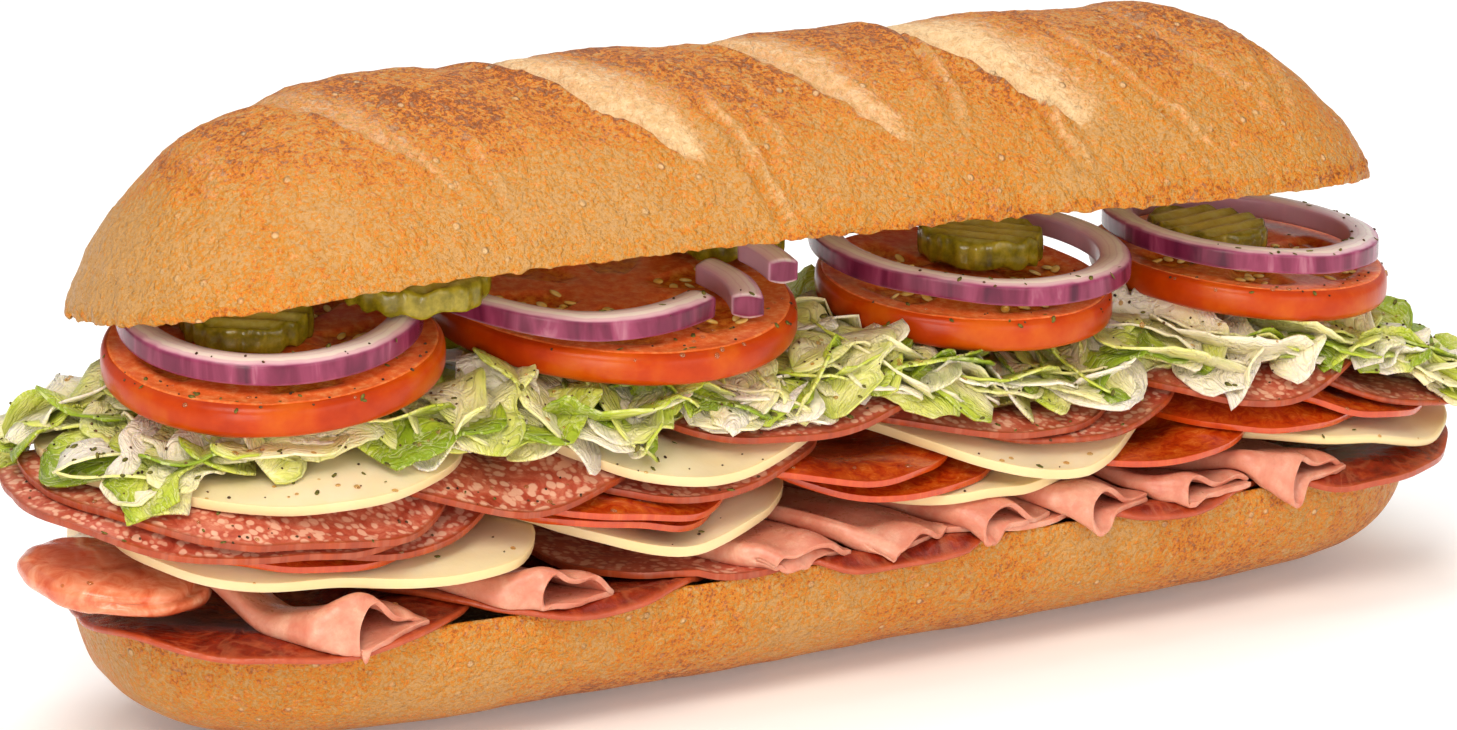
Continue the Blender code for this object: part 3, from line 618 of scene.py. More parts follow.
def make_ham(name):
    """Cooked ham: wet pale pink meat with faint muscle seams and a paler fat edge."""
    look, shader = new_look(name, IOR=1.42, Specular_IOR_Level=0.55, Subsurface_Weight=0.25,
                            Subsurface_Scale=0.004,
                            Subsurface_Radius=(1.0, 0.35, 0.2))
    place = add(look, "TexCoord", out="Object")
    seam = add(look, "TexNoise", {"Vector": place, "Scale": 75.0, "Detail": 5.0, "Roughness": 0.6,
                                  "Distortion": 1.6})
    grain = add(look, "TexNoise", {"Vector": place, "Scale": 520.0, "Detail": 4.0, "Roughness": 0.65})
    meat = add(look, "ValToRGB", {"Fac": seam}, stops=[(0.25, "#C47058"), (0.48, "#D28A70"),
                                                       (0.62, "#DC9E84"), (0.80, "#E8BA9E")])
    amount = add(look, "MapRange", {0: grain, 1: 0.4, 2: 0.62, 3: 0.0, 4: 0.3})
    colour = add(look, "Mix", {0: amount, 6: meat, 7: "#C25F48"}, out=2, data_type="RGBA")
    wire(look, shader, Base_Color=colour)
    wire(look, shader, Roughness=add(look, "MapRange", {0: grain, 1: 0.3, 2: 0.7, 3: 0.22, 4: 0.42}))
    wire(look, shader, Normal=add(look, "Bump", {"Height": grain, "Distance": 0.0003, "Strength": 0.5}))
    return look


HAM_THICKNESS = 1.2 * MM
ham_look = make_ham("cooked_ham")
lay_slices("ham", 1, 1, HAM_THICKNESS, 1.6 * MM, ham_look, 40)


def soften(grid, reach):
    """The grid blurred over reach cells each way."""
    total = np.zeros_like(grid)
    padded = np.pad(grid, reach, mode="edge")
    for across in range(2 * reach + 1):
        total += padded[across:across + grid.shape[0], reach:reach + grid.shape[1]]
    padded = np.pad(total / (2 * reach + 1), reach, mode="edge")
    total = np.zeros_like(grid)
    for along in range(2 * reach + 1):
        total += padded[reach:reach + grid.shape[0], along:along + grid.shape[1]]
    return total / (2 * reach + 1)


def slope_down(grid, slope, reach):
    """The grid with every edge run out downhill, instead of dropping sheer."""
    for _ in range(reach):
        padded = np.pad(grid, 1, mode="edge") - slope * BED_CELL
        for across in (0, 2):
            grid = np.maximum(grid, padded[across:across + grid.shape[0], 1:-1])
        for along in (0, 2):
            grid = np.maximum(grid, padded[1:-1, along:along + grid.shape[1]])
    return grid


FOLD_ROWS, FOLD_COLUMNS, FOLD_STEPS = 44, 48, 60
FOLD_FRONT = -0.0475
MOUTH_LIMIT, BACK_LIMIT = -0.0520, 0.0445


def fold_slice(number, mouth, width, gape, length, droop, turn):
    """A slice doubled over a line that runs back from its open, drooping mouth."""
    fold = primitive("grid", x_subdivisions=FOLD_ROWS, y_subdivisions=FOLD_COLUMNS, size=1)
    fold.name = f"ham_fold_{number}"
    flat = points_of(fold)
    share, around = (flat[:, 0] + 0.5) ** 1.6, flat[:, 1] * 2
    back = share * length
    lip = 1 - smooth_step(back, 0.0, 0.014)
    walk = np.linspace(0, length, FOLD_STEPS)
    bearing = math.radians(22) + math.radians(turn - 22) * np.exp(-walk / 0.022)
    line = np.cumsum(np.stack([-np.sin(bearing), np.cos(bearing)], axis=1), axis=0)
    line *= length / FOLD_STEPS
    centre = np.stack([np.interp(back, walk, line[:, 0]) + mouth,
                       np.interp(back, walk, line[:, 1]) + FOLD_FRONT], axis=1)
    bearing = np.interp(back, walk, bearing)
    tall = 3.2 * MM + (gape - 3.2 * MM) * np.exp(-(back / 0.013) ** 2)
    radius = tall / 2
    bend = np.clip(around / 0.34, -1, 1) * math.pi / 2
    run = np.clip((np.abs(around) - 0.34) / 0.66, 0, 1)
    side = -width / 2 + radius * (1 - np.cos(bend)) + run * (width - radius)
    lift = radius * (1 + np.sin(bend)) - (around > 0) * run ** 1.3 * (tall - 1.6 * MM)
    lift += (around > 0) * lip * 1.4 * MM * np.sin(7 * run + number)
    lift += (around < 0) * lip * 0.9 * MM * np.sin(5 * run + 2 * number)
    points = np.zeros_like(flat)
    points[:, 0] = centre[:, 0] + side * np.cos(bearing)
    points[:, 1] = centre[:, 1] + side * np.sin(bearing) * (0.35 + 0.65 * (1 - lip))
    seeded = np.column_stack([points[:, :2], lift + number * 0.05])
    ragged = 1.2 * MM * cloud(seeded, 0.010, 50 + number) + 0.3 * MM * cloud(seeded, 0.004, 60 + number)
    points[:, 1] -= lip * (ragged + 1.0 * MM * np.cos(around * 2.5 + number))
    ground = soften(slope_down(bed, 0.55, 14), 3)
    points[:, 2] = grid_value(ground, points) + lift - droop * np.exp(-back / 0.006)
    points += drift(seeded, (0.016, 0.016, 0.014), 70 + number) * np.array((1.0, 0.8, 0.5)) * MM
    points[:, 2] = np.maximum(points[:, 2], bed_under(points) + 0.25 * MM)
    points[:, 1] = np.clip(points[:, 1], MOUTH_LIMIT, BACK_LIMIT)
    move_points(fold, points)
    apply(fold, "SMOOTH", factor=0.5, iterations=3)
    apply(fold, "SOLIDIFY", thickness=HAM_THICKNESS, offset=0.0)
    apply(fold, "SUBSURF", levels=1, render_levels=1)
    finish_piece(fold, ham_look, "ham", f"ham_{number}")
    raise_bed(fold)


# mouth, width, height of the mouth, length, all in mm, then its droop and its turn in degrees
ham_folds = ((2, -111, 26, 12.5, 34, 4.5, 46), (3, -70, 25, 9.5, 60, 1.5, 44),
             (4, -16, 24, 6.0, 90, 1.5, 34), (5, 9, 22, 5.0, 88, 1.0, 42), (6, 33, 23, 6.0, 86, 1.5, 30),
             (7, 58, 23, 7.5, 88, 2.0, 40), (8, 83, 23, 5.0, 86, 1.0, 36), (9, 109, 25, 8.5, 88, 2.5, 44))
for number, *sizes, turn in ham_folds:
    fold_slice(number, *(size * MM for size in sizes), turn)


# ------------------------------------------------------------ provolone, lower slices
# Mild cheese sliced 2 mm thick: smooth, cream-coloured, a little stiffer than the meat,
# so it bridges the folds under it and shows a clean cut edge.

def make_cheese(name):
    """Provolone: dense, smooth and slightly see-through at a thin edge."""
    look, shader = new_look(name, Roughness=0.38, IOR=1.45, Specular_IOR_Level=0.45,
                            Subsurface_Weight=0.35, Subsurface_Scale=0.006,
                            Subsurface_Radius=(1.0, 0.75, 0.4))
    place = add(look, "Attribute", out="Vector", attribute_name="flat")
    rim = add(look, "Attribute", out="Fac", attribute_name="rim")
    tone = add(look, "TexNoise", {"Vector": place, "Scale": 45.0, "Detail": 4.0})
    amount = add(look, "MapRange", {0: tone, 1: 0.35, 2: 0.65})
    body = add(look, "Mix", {0: amount, 6: "#F6E4BE", 7: "#EFD7A4"}, out=2, data_type="RGBA")
    amount = add(look, "MapRange", {0: rim, 1: 0.0, 2: 0.9, 3: 0.5, 4: 0.0})
    colour = add(look, "Mix", {0: amount, 6: body, 7: "#E8C07A"}, out=2, data_type="RGBA")
    wire(look, shader, Base_Color=colour)
    fine = add(look, "TexNoise", {"Vector": place, "Scale": 700.0, "Detail": 3.0})
    wire(look, shader, Normal=add(look, "Bump", {"Height": fine, "Distance": 0.00012, "Strength": 0.5}))
    return look


cheese_look = make_cheese("provolone")


def lay_cheese(first, last):
    """The cheese slices numbered first to last."""
    lay_slices("cheese", first, last, 2.0 * MM, 0.5 * MM, cheese_look, 80)


lay_cheese(1, 4)


# ------------------------------------------------------------ pepperoni
# Spiced sausage, bright orange-red with paprika, its surface oiled by its own fat. Eight
# slices lie in small fans between the provolone and the salami.

def make_pepperoni(name):
    """Pepperoni: paprika-red paste with dark lean specks, wet with orange oil."""
    look, shader = new_look(name, Roughness=0.2, IOR=1.46, Specular_IOR_Level=0.6,
                            Coat_Weight=0.4, Coat_Roughness=0.12)
    place = add(look, "Attribute", out="Vector", attribute_name="flat")
    rim = add(look, "Attribute", out="Fac", attribute_name="rim")
    grain = add(look, "TexNoise", {"Vector": place, "Scale": 330.0, "Detail": 6.0, "Roughness": 0.7,
                                   "Distortion": 0.7})
    paste = add(look, "ValToRGB", {"Fac": grain},
                stops=[(0.28, "#8E1E05"), (0.45, "#BE3A08"), (0.60, "#D65E16"), (0.74, "#EA9248")])
    amount = add(look, "MapRange", {0: rim, 1: 0.3, 2: 1.4, 3: 0.7, 4: 0.0})
    colour = add(look, "Mix", {0: amount, 6: paste, 7: "#C4440C"}, out=2, data_type="RGBA")
    wire(look, shader, Base_Color=colour)
    wire(look, shader, Normal=add(look, "Bump", {"Height": grain, "Distance": 0.0003, "Strength": 0.5}))
    return look


pepperoni_look = make_pepperoni("pepperoni_paste")
lay_slices("pepperoni", 1, 8, 1.3 * MM, 1.2 * MM, pepperoni_look, 100)


# ------------------------------------------------------------ upper salami and provolone
# The rest of the salami and provolone, laid turn about, each a little further along the
# roll. Some slices sag more or reach further out at the front.

lay_salami(2, 3, 3.5 * MM)
lay_salami(4, 5, 6 * MM, 1.06)
lay_salami(6, 6, 3.5 * MM)
lay_cheese(5, 5)
lay_salami(7, 10)
lay_cheese(6, 7)
lay_salami(11, 11)
bpy.data.objects.remove(blank, do_unlink=True)


# ------------------------------------------------------------ shredded lettuce
# Iceberg lettuce cut into ribbons and heaped by hand: crisp cream ribs and thin crinkled
# yellow-green blades. They lie over a smaller core, and tips hang over the cold cuts.

NO_CEILING = 0.2
ceiling = np.full(bed.shape, NO_CEILING)


for node, solid in frame["nodes"].items():
    if node.startswith(("tomato", "onion", "pickle", "bread_top")):
        stamp(ceiling, solid, np.minimum, 14)


def make_lettuce(name):
    """Wet lettuce: thin, waxy and a little see-through, netted with pale veins."""
    look, shader = new_look(name, IOR=1.4, Specular_IOR_Level=0.5, Roughness=0.30,
                            Subsurface_Weight=0.3, Subsurface_Scale=0.003,
                            Subsurface_Radius=(0.8, 1.0, 0.3))
    place = add(look, "Attribute", out="Vector", attribute_name="flat")
    green = add(look, "Attribute", out="Fac", attribute_name="green")
    tone = add(look, "TexNoise", {"Vector": place, "Scale": 110.0, "Detail": 4.0, "Roughness": 0.6})
    net = add(look, "Mapping", {"Vector": place, "Scale": (1.0, 2.2, 1.0)})
    net = add(look, "TexNoise", {"Vector": net, "Scale": 130.0, "Detail": 3.0, "Distortion": 1.8})
    net = add(look, "Math", {0: net, 1: 0.5}, operation="SUBTRACT")
    net = add(look, "Math", {0: net}, operation="ABSOLUTE")
    vein = add(look, "MapRange", {0: net, 1: 0.004, 2: 0.035, 3: 1.0, 4: 0.0})
    fibre = add(look, "TexNoise", {"Vector": place, "Scale": 800.0, "Detail": 2.0})
    amount = add(look, "MapRange", {0: tone, 1: 0.3, 2: 0.7, 3: -0.18, 4: 0.18})
    share = add(look, "Math", {0: green, 1: amount})
    leaf = add(look, "ValToRGB", {"Fac": share}, stops=[(0.0, "#F6ECD2"), (0.30, "#F0E6B0"),
                                                        (0.55, "#D6D874"), (0.78, "#AFBE36"),
                                                        (1.0, "#80961C")])
    amount = add(look, "Math", {0: vein, 1: 0.35}, operation="MULTIPLY")
    colour = add(look, "Mix", {0: amount, 6: leaf, 7: "#F0EFC4"}, out=2, data_type="RGBA")
    wire(look, shader, Base_Color=colour)
    blister = add(look, "Math", {0: add(look, "MapRange", {0: net, 1: 0.0, 2: 0.12}), 1: fibre})
    wire(look, shader, Normal=add(look, "Bump", {"Height": blister, "Distance": 0.0006, "Strength": 0.7}))
    return look


lettuce_look = make_lettuce("crisp_lettuce")
lettuce_core = node_copy("lettuce", "lettuce_core")
subdivide(lettuce_core, 2)
points, outward = points_of(lettuce_core), normals_of(lettuce_core)
points = points * (0.965, 0.90, 1.0)
points[:, 2] -= (1.6 * MM) * smooth_step(outward[:, 2], 0.0, 0.5)
points[:, 2] += 0.9 * MM * cloud(points, 0.006, 9, 3) * smooth_step(outward[:, 2], -0.2, 0.5)
points[:, 2] = np.maximum(points[:, 2], bed_under(points) + 0.2 * MM)
move_points(lettuce_core, points)
# the core is marked a deeper green than most shreds: painted shade for the inside of the heap
mark(lettuce_core, "green", 0.62 + 0.25 * cloud(points, 0.012, 10))
mark_flat(lettuce_core, points)
finish_piece(lettuce_core, lettuce_look, "lettuce", "lettuce")
raise_bed(lettuce_core)

SHRED_LONG, SHRED_WIDE = 24, 5
HEAP_LEFT, HEAP_RIGHT = -0.1690, 0.1660
RIB_SHARE = 0.26


def bend_shred(along, across, spot, heading, length, width, dice):
    """One shred's points: curled in plan, rolled about its length, its edges frilled."""
    steps = 60
    walk = np.linspace(-0.5, 0.5, steps)
    turn = heading + dice.uniform(-1.3, 1.3) * walk + 0.35 * np.sin(
        2 * math.pi * (dice.uniform(0.6, 1.5) * walk + dice.random()))
    path = np.cumsum(np.stack([np.cos(turn), np.sin(turn)], axis=1), axis=0) * length / steps
    path += np.array(spot) - path[steps // 2]
    line = np.stack([np.interp(along, walk, path[:, 0]), np.interp(along, walk, path[:, 1])], axis=1)
    bearing = np.interp(along, walk, turn)
    taper = (1 - dice.uniform(0.3, 0.75) * np.abs(2 * along) ** dice.uniform(2, 6)
             + 0.12 * np.sin(2 * math.pi * (2.3 * along + dice.random())))
    roll = dice.gauss(0, 0.32) + dice.uniform(-1.0, 1.0) * along
    side = np.stack([-np.sin(bearing) * np.cos(roll), np.cos(bearing) * np.cos(roll),
                     np.sin(roll)], axis=1)
    up = np.stack([np.sin(bearing) * np.sin(roll), -np.cos(bearing) * np.sin(roll),
                   np.cos(roll)], axis=1)
    frill = dice.uniform(0.1, 0.8) * MM * np.abs(2 * across) ** 1.4 * np.sin(
        2 * math.pi * (along * length / dice.uniform(0.009, 0.018) + dice.random())
        + np.sign(across) * dice.uniform(0.5, 2.5))
    cup = dice.uniform(-0.9, 1.3) * MM * (2 * across) ** 2
    hump = dice.uniform(0.2, 1.5) * MM * np.sin(
        2 * math.pi * (dice.uniform(0.5, 1.4) * along + dice.random()))
    points = np.column_stack([line, np.zeros(len(line))])
    points += side * (across * width * taper)[:, None] + up * (frill + cup)[:, None]
    points[:, 2] += hump
    return points, line


def shred_spots(dice, count):
    """Where the shreds' middles lie: thickest along the front, then the back and ends."""
    spots = []
    for _ in range(count):
        draw = dice.random()
        x = dice.uniform(-0.157, 0.160)
        if draw < 0.54:
            y = dice.uniform(-0.0395, -0.028)
        elif draw < 0.74:
            y = dice.uniform(0.026, 0.0385)
        elif draw < 0.86:
            x = dice.choice((-1, 1)) * dice.uniform(0.135, 0.156)
            y = dice.uniform(-0.032, 0.030)
        elif draw < 0.92:
            x, y = dice.uniform(-0.006, 0.012), dice.uniform(-0.036, 0.0)
        else:
            y = dice.uniform(-0.028, 0.026)
        spots.append((x, y))
    return spots


def keep_in(points, dice):
    """Shifts a shred inwards until its tips hang no further out than its neighbours'."""
    front = -0.0460 + dice.uniform(0, 0.008) + 0.007 * (points[:, 0].mean() < -0.10)
    limits = np.array(((HEAP_LEFT, front), (HEAP_RIGHT, BACK_LIMIT)))
    shift = np.maximum(limits[0] - points[:, :2].min(axis=0), 0)
    shift += np.minimum(limits[1] - points[:, :2].max(axis=0), 0)
    return np.append(shift, 0)


def heap_shreds(kinds, count, seed):
    """Shreds of several kinds, each laid on what is there already; one piece a kind."""
    dice = random.Random(seed)
    shred = primitive("grid", x_subdivisions=SHRED_LONG, y_subdivisions=SHRED_WIDE, size=1)
    base = points_of(shred)
    faces = np.array([face.vertices[:] for face in shred.data.polygons])
    bpy.data.objects.remove(shred, do_unlink=True)
    heaps = {name: ([], [], [], []) for name in kinds}
    ground = soften(slope_down(bed, 0.5, 44), 2)
    for number, spot in enumerate(shred_spots(dice, count)):
        name = "lettuce_ribs" if dice.random() < RIB_SHARE else "lettuce_blades"
        widths, lengths, greens = kinds[name]
        length, width = dice.uniform(*lengths), dice.uniform(*widths)
        edge = min(abs(spot[1]) / 0.036, 1) ** 2
        out = math.atan2(spot[1], 0.25 * spot[0])
        heading = dice.uniform(0, math.pi) if dice.random() > 0.45 * edge else out + dice.gauss(0, 0.6)
        points, line = bend_shred(base[:, 0], base[:, 1], spot, heading, length, width, dice)
        shift = keep_in(points, dice)
        points += shift
        points[:, 2] += grid_value(ground, line + shift[:2])
        floor = bed_under(points) + 0.15 * MM
        roof = grid_value(ceiling, points) - 0.6 * MM
        lift = np.percentile(np.maximum(floor - points[:, 2], 0), 60)
        room = np.percentile(roof - points[:, 2], 25)
        points[:, 2] += min(lift, max(room, 0.0), 2.2 * MM)
        points[:, 2] = np.minimum(points[:, 2], np.maximum(roof, floor - 0.4 * MM))
        points[:, 2] = np.maximum(points[:, 2], grid_value(first_bed, points) + 0.4 * MM)
        points[:, 2] = np.maximum(points[:, 2], grid_value(ground, points) - 5 * MM)
        np.maximum.at(bed, tuple(cells_of(points).T), points[:, 2])
        start = dice.uniform(*greens)
        slope, lean = dice.uniform(-0.35, 0.35), dice.uniform(-0.45, 0.45)
        places, corners, green, flats = heaps[name]
        corners.append(faces + len(places) * len(base))
        places.append(points)
        green.append(start + slope * base[:, 0] * 2 + lean * base[:, 1] * 2)
        flats.append(np.column_stack([base[:, 0] * length, base[:, 1] * width * 0.7,
                                      np.full(len(base), number * 0.031)]))
    for name, (places, corners, green, flats) in heaps.items():
        mesh = bpy.data.meshes.new(name)
        mesh.from_pydata(np.concatenate(places).tolist(), [], np.concatenate(corners).tolist())
        piece = new_piece(mesh)
        mark(piece, "green", np.concatenate(green))
        mark_flat(piece, np.concatenate(flats))
        apply(piece, "SOLIDIFY", thickness=0.5 * MM, offset=1.0)
        finish_piece(piece, lettuce_look, "lettuce", "lettuce")


first_bed = bed.copy()
heap_shreds({"lettuce_blades": ((0.013, 0.023), (0.024, 0.042), (0.18, 0.80)),
             "lettuce_ribs": ((0.008, 0.014), (0.020, 0.036), (-0.1, 0.26))}, 260, 12)


# ------------------------------------------------------------ tomato slices
# Four slices of ripe tomato 6.4 mm thick: tight glossy skin round the edge, firm
# flesh inside it, and chambers of wet gel with pale seeds between fleshy spokes.

def spin_profile(name, profile, steps):
    """A solid of revolution round Z from a profile of (radius, height) points."""
    mesh = bpy.data.meshes.new(name)
    mesh.from_pydata([(radius, 0, height) for radius, height in profile],
                     [(n, n + 1) for n in range(len(profile) - 1)], [])
    piece = new_piece(mesh)
    alone(piece)
    bpy.ops.object.mode_set(mode="EDIT")
    bpy.ops.mesh.select_all(action="SELECT")
    bpy.ops.mesh.spin(steps=steps, angle=2 * math.pi, center=(0, 0, 0), axis=(0, 0, 1))
    bpy.ops.mesh.select_all(action="SELECT")
    bpy.ops.mesh.remove_doubles(threshold=0.0000015)
    bpy.ops.mesh.normals_make_consistent(inside=False)
    bpy.ops.object.mode_set(mode="OBJECT")
    return piece


def rounded_slab(thickness, corner):
    """A profile one unit in radius: flat top and bottom, rounded corners, bowed side."""
    top = [(share, thickness / 2) for share in np.linspace(0.0, 1 - 2.2 * corner / 0.035, 22)]
    side = []
    for step in range(11):
        angle = math.pi / 2 - math.pi * step / 10
        side.append((1 - corner / 0.035 * (1 - math.cos(angle)) * 2,
                     (thickness / 2) * math.copysign(abs(math.sin(angle)) ** 0.6, math.sin(angle))))
    return top + side + [(share, -height) for share, height in reversed(top)]


def tilted_fit(node, piece, terms, radius_share=1.0):
    """Fits a unit solid to a packed slice: its outline, and the slope it lies at."""
    source, points = points_of(frame["nodes"][node]), points_of(piece)
    angle = np.arctan2(points[:, 1], points[:, 0])
    middle, radius = outline_of(node, angle, terms)
    design = np.column_stack([source[:, :2] - middle, np.ones(len(source))])
    slope = np.linalg.lstsq(design, source[:, 2], rcond=None)[0]
    arm = points[:, :2] * (radius * radius_share)[:, None]
    places = np.column_stack([middle + arm, points[:, 2] + arm @ slope[:2] + slope[2]])
    return places, arm, angle, radius


def make_tomato(name):
    """Ripe tomato: waxy orange-red skin, wet rosy flesh, dark gel that soaks up light."""
    look, shader = new_look(name, IOR=1.38, Specular_IOR_Level=0.35, Subsurface_Weight=0.05,
                            Subsurface_Scale=0.003,
                            Subsurface_Radius=(1.0, 0.25, 0.1))
    place = add(look, "TexCoord", out="Object")
    cut, gel = [add(look, "Attribute", out="Fac", attribute_name=layer) for layer in ("cut", "gel")]
    tone = add(look, "TexNoise", {"Vector": place, "Scale": 70.0, "Detail": 4.0, "Roughness": 0.6})
    grain = add(look, "TexNoise", {"Vector": place, "Scale": 480.0, "Detail": 5.0, "Roughness": 0.65})
    skin = add(look, "ValToRGB", {"Fac": tone}, stops=[(0.3, "#A02900"), (0.5, "#B53A00"),
                                                       (0.74, "#C65C08")])
    flesh = add(look, "ValToRGB", {"Fac": grain},
                stops=[(0.3, "#DA5A24"), (0.5, "#E87236"), (0.7, "#F09A5C")])
    amount = add(look, "MapRange", {0: grain, 1: 0.35, 2: 0.65})
    jelly = add(look, "Mix", {0: amount, 6: "#B83E08", 7: "#E8902C"}, out=2, data_type="RGBA")
    inside = add(look, "Mix", {0: gel, 6: flesh, 7: jelly}, out=2, data_type="RGBA")
    amount = add(look, "MapRange", {0: cut, 1: 0.3, 2: 0.6})
    colour = add(look, "Mix", {0: amount, 6: skin, 7: inside}, out=2, data_type="RGBA")
    wire(look, shader, Base_Color=colour)
    wire(look, shader, Roughness=add(look, "MapRange", {0: cut, 1: 0.2, 2: 0.8, 3: 0.28, 4: 0.16}))
    wire(look, shader, Normal=add(look, "Bump", {"Height": grain, "Distance": 0.0003, "Strength": 0.2}))
    return look


TOMATO_THICKNESS = 6.4 * MM
tomato_look = make_tomato("ripe_tomato")
seed_spots = []
for number in range(1, 5):
    slab = spin_profile(f"tomato_slice_{number}", rounded_slab(TOMATO_THICKNESS, 0.9 * MM), 144)
    points, arm, angle, radius = tilted_fit(f"tomato_{number}", slab, 4, 0.995)
    share = np.hypot(arm[:, 0], arm[:, 1]) / radius
    face = np.sign(points_of(slab)[:, 2]) * smooth_step(0.965 - share, 0.0, 0.02)
    spokes = 5 if number % 2 else 6
    arm_3d = np.column_stack([arm, np.full(len(arm), number * 0.1)])
    wobble = 0.35 * cloud(arm_3d, 0.02, 30)
    petal = np.cos(spokes * (angle + 0.5 * number) + 2.2 * wobble)
    gel = (smooth_step(petal, -0.35, 0.15) * smooth_step(share, 0.24, 0.34)
           * (1 - smooth_step(share + 0.10 * wobble, 0.74, 0.80)))
    lumps = cloud(arm_3d, 0.0035, 31 + number)
    points[:, 2] += np.sign(face) * np.abs(face) * (
        -1.0 * MM * gel + 0.55 * MM * gel * lumps + 0.25 * MM * cloud(arm_3d, 0.007, 33)
        + 0.25 * MM * smooth_step(share, 0.88, 0.955))
    move_points(slab, points)
    mark(slab, "cut", np.abs(face))
    mark(slab, "gel", gel)
    finish_piece(slab, tomato_look, "tomato", f"tomato_{number}")
    raise_bed(slab)
    top = (face > 0.5) & (gel > 0.7)
    seed_spots.append(points[top])


# ------------------------------------------------------------ tomato seeds
# Flat pale yellow seeds 3 mm long, lying at all angles in the gel of the slices, on the
# upper faces only. They are one joined piece.

def make_seed_look(name):
    """Tomato seed: pale, smooth, wrapped in clear wet jelly."""
    look, shader = new_look(name, Roughness=0.15, IOR=1.4, Coat_Weight=0.6, Coat_Roughness=0.05)
    place = add(look, "TexCoord", out="Object")
    tone = add(look, "TexNoise", {"Vector": place, "Scale": 380.0, "Detail": 2.0})
    amount = add(look, "MapRange", {0: tone, 1: 0.35, 2: 0.65})
    colour = add(look, "Mix", {0: amount, 6: "#E9B844", 7: "#F4DC88"}, out=2, data_type="RGBA")
    wire(look, shader, Base_Color=colour)
    return look


def scatter(name, blank_piece, places, look, slot):
    """Copies of a small blank at the given 4x4 places, joined as one piece."""
    base = points_of(blank_piece)
    faces = [face.vertices[:] for face in blank_piece.data.polygons]
    bpy.data.objects.remove(blank_piece, do_unlink=True)
    points, all_faces = [], []
    for number, place in enumerate(places):
        turn = np.array(place)
        points.append(base @ turn[:3, :3].T + turn[:3, 3])
        all_faces += [tuple(corner + number * len(base) for corner in face) for face in faces]
    mesh = bpy.data.meshes.new(name)
    mesh.from_pydata(np.concatenate(points).tolist(), [], all_faces)
    piece = new_piece(mesh)
    finish_piece(piece, look, slot)
    return piece


def make_ball(size, levels=1):
    """A small rounded blank of the given three sizes."""
    ball = primitive("ico_sphere", subdivisions=levels, radius=0.5)
    bpy.ops.object.mode_set(mode="EDIT")
    bpy.ops.mesh.select_all(action="SELECT")
    bpy.ops.transform.resize(value=size)
    bpy.ops.object.mode_set(mode="OBJECT")
    return ball


def stood_at(spot, normal, dice, tilt=0.2, scale=1.0):
    """A place at spot, lying on the normal and turned by chance."""
    lean = Vector(normal) + Vector([dice.gauss(0, tilt) for _ in range(3)])
    turn = lean.to_track_quat("Z", "Y").to_matrix().to_4x4()
    place = turn @ turn_z(dice.uniform(0, 2 * math.pi), scale)
    place.translation = Vector(spot)
    return place


def turn_z(angle, scale):
    """A turn about Z and an even scale as a 4x4 matrix."""
    turn = Vector((math.cos(angle), math.sin(angle), 0)).to_track_quat("X", "Z").to_matrix().to_4x4()
    return turn * scale


SEEDS_A_SLICE = 46
dice = random.Random(21)
places = []
for spots in seed_spots:
    for _ in range(min(SEEDS_A_SLICE, len(spots))):
        spot = spots[dice.randrange(len(spots))]
        places.append(stood_at(spot + (0, 0, 0.0005), (0, 0, 1), dice, 0.25, dice.uniform(0.8, 1.15)))
scatter("tomato_seeds", make_ball((3.0 * MM, 1.9 * MM, 0.9 * MM), 2), places,
        make_seed_look("tomato_seed"), "tomato")


# ------------------------------------------------------------ red onion rings
# Rings and two loose ends of red onion: purple skin outside, white to pink flesh within,
# in crisp layers that show as fine lines on the cut face.

def rounded_copy(node, name, crease, levels):
    """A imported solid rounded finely, its hard edges held by a crease."""
    piece = node_copy(node, name)
    alone(piece)
    bpy.ops.object.mode_set(mode="EDIT")
    bpy.ops.mesh.select_all(action="DESELECT")
    bpy.ops.mesh.select_mode(type="EDGE")
    bpy.ops.mesh.edges_select_sharp(sharpness=math.radians(42))
    bpy.ops.transform.edge_crease(value=crease)
    bpy.ops.mesh.select_mode(type="VERT")
    bpy.ops.object.mode_set(mode="OBJECT")
    subdivide(piece, levels)
    return piece


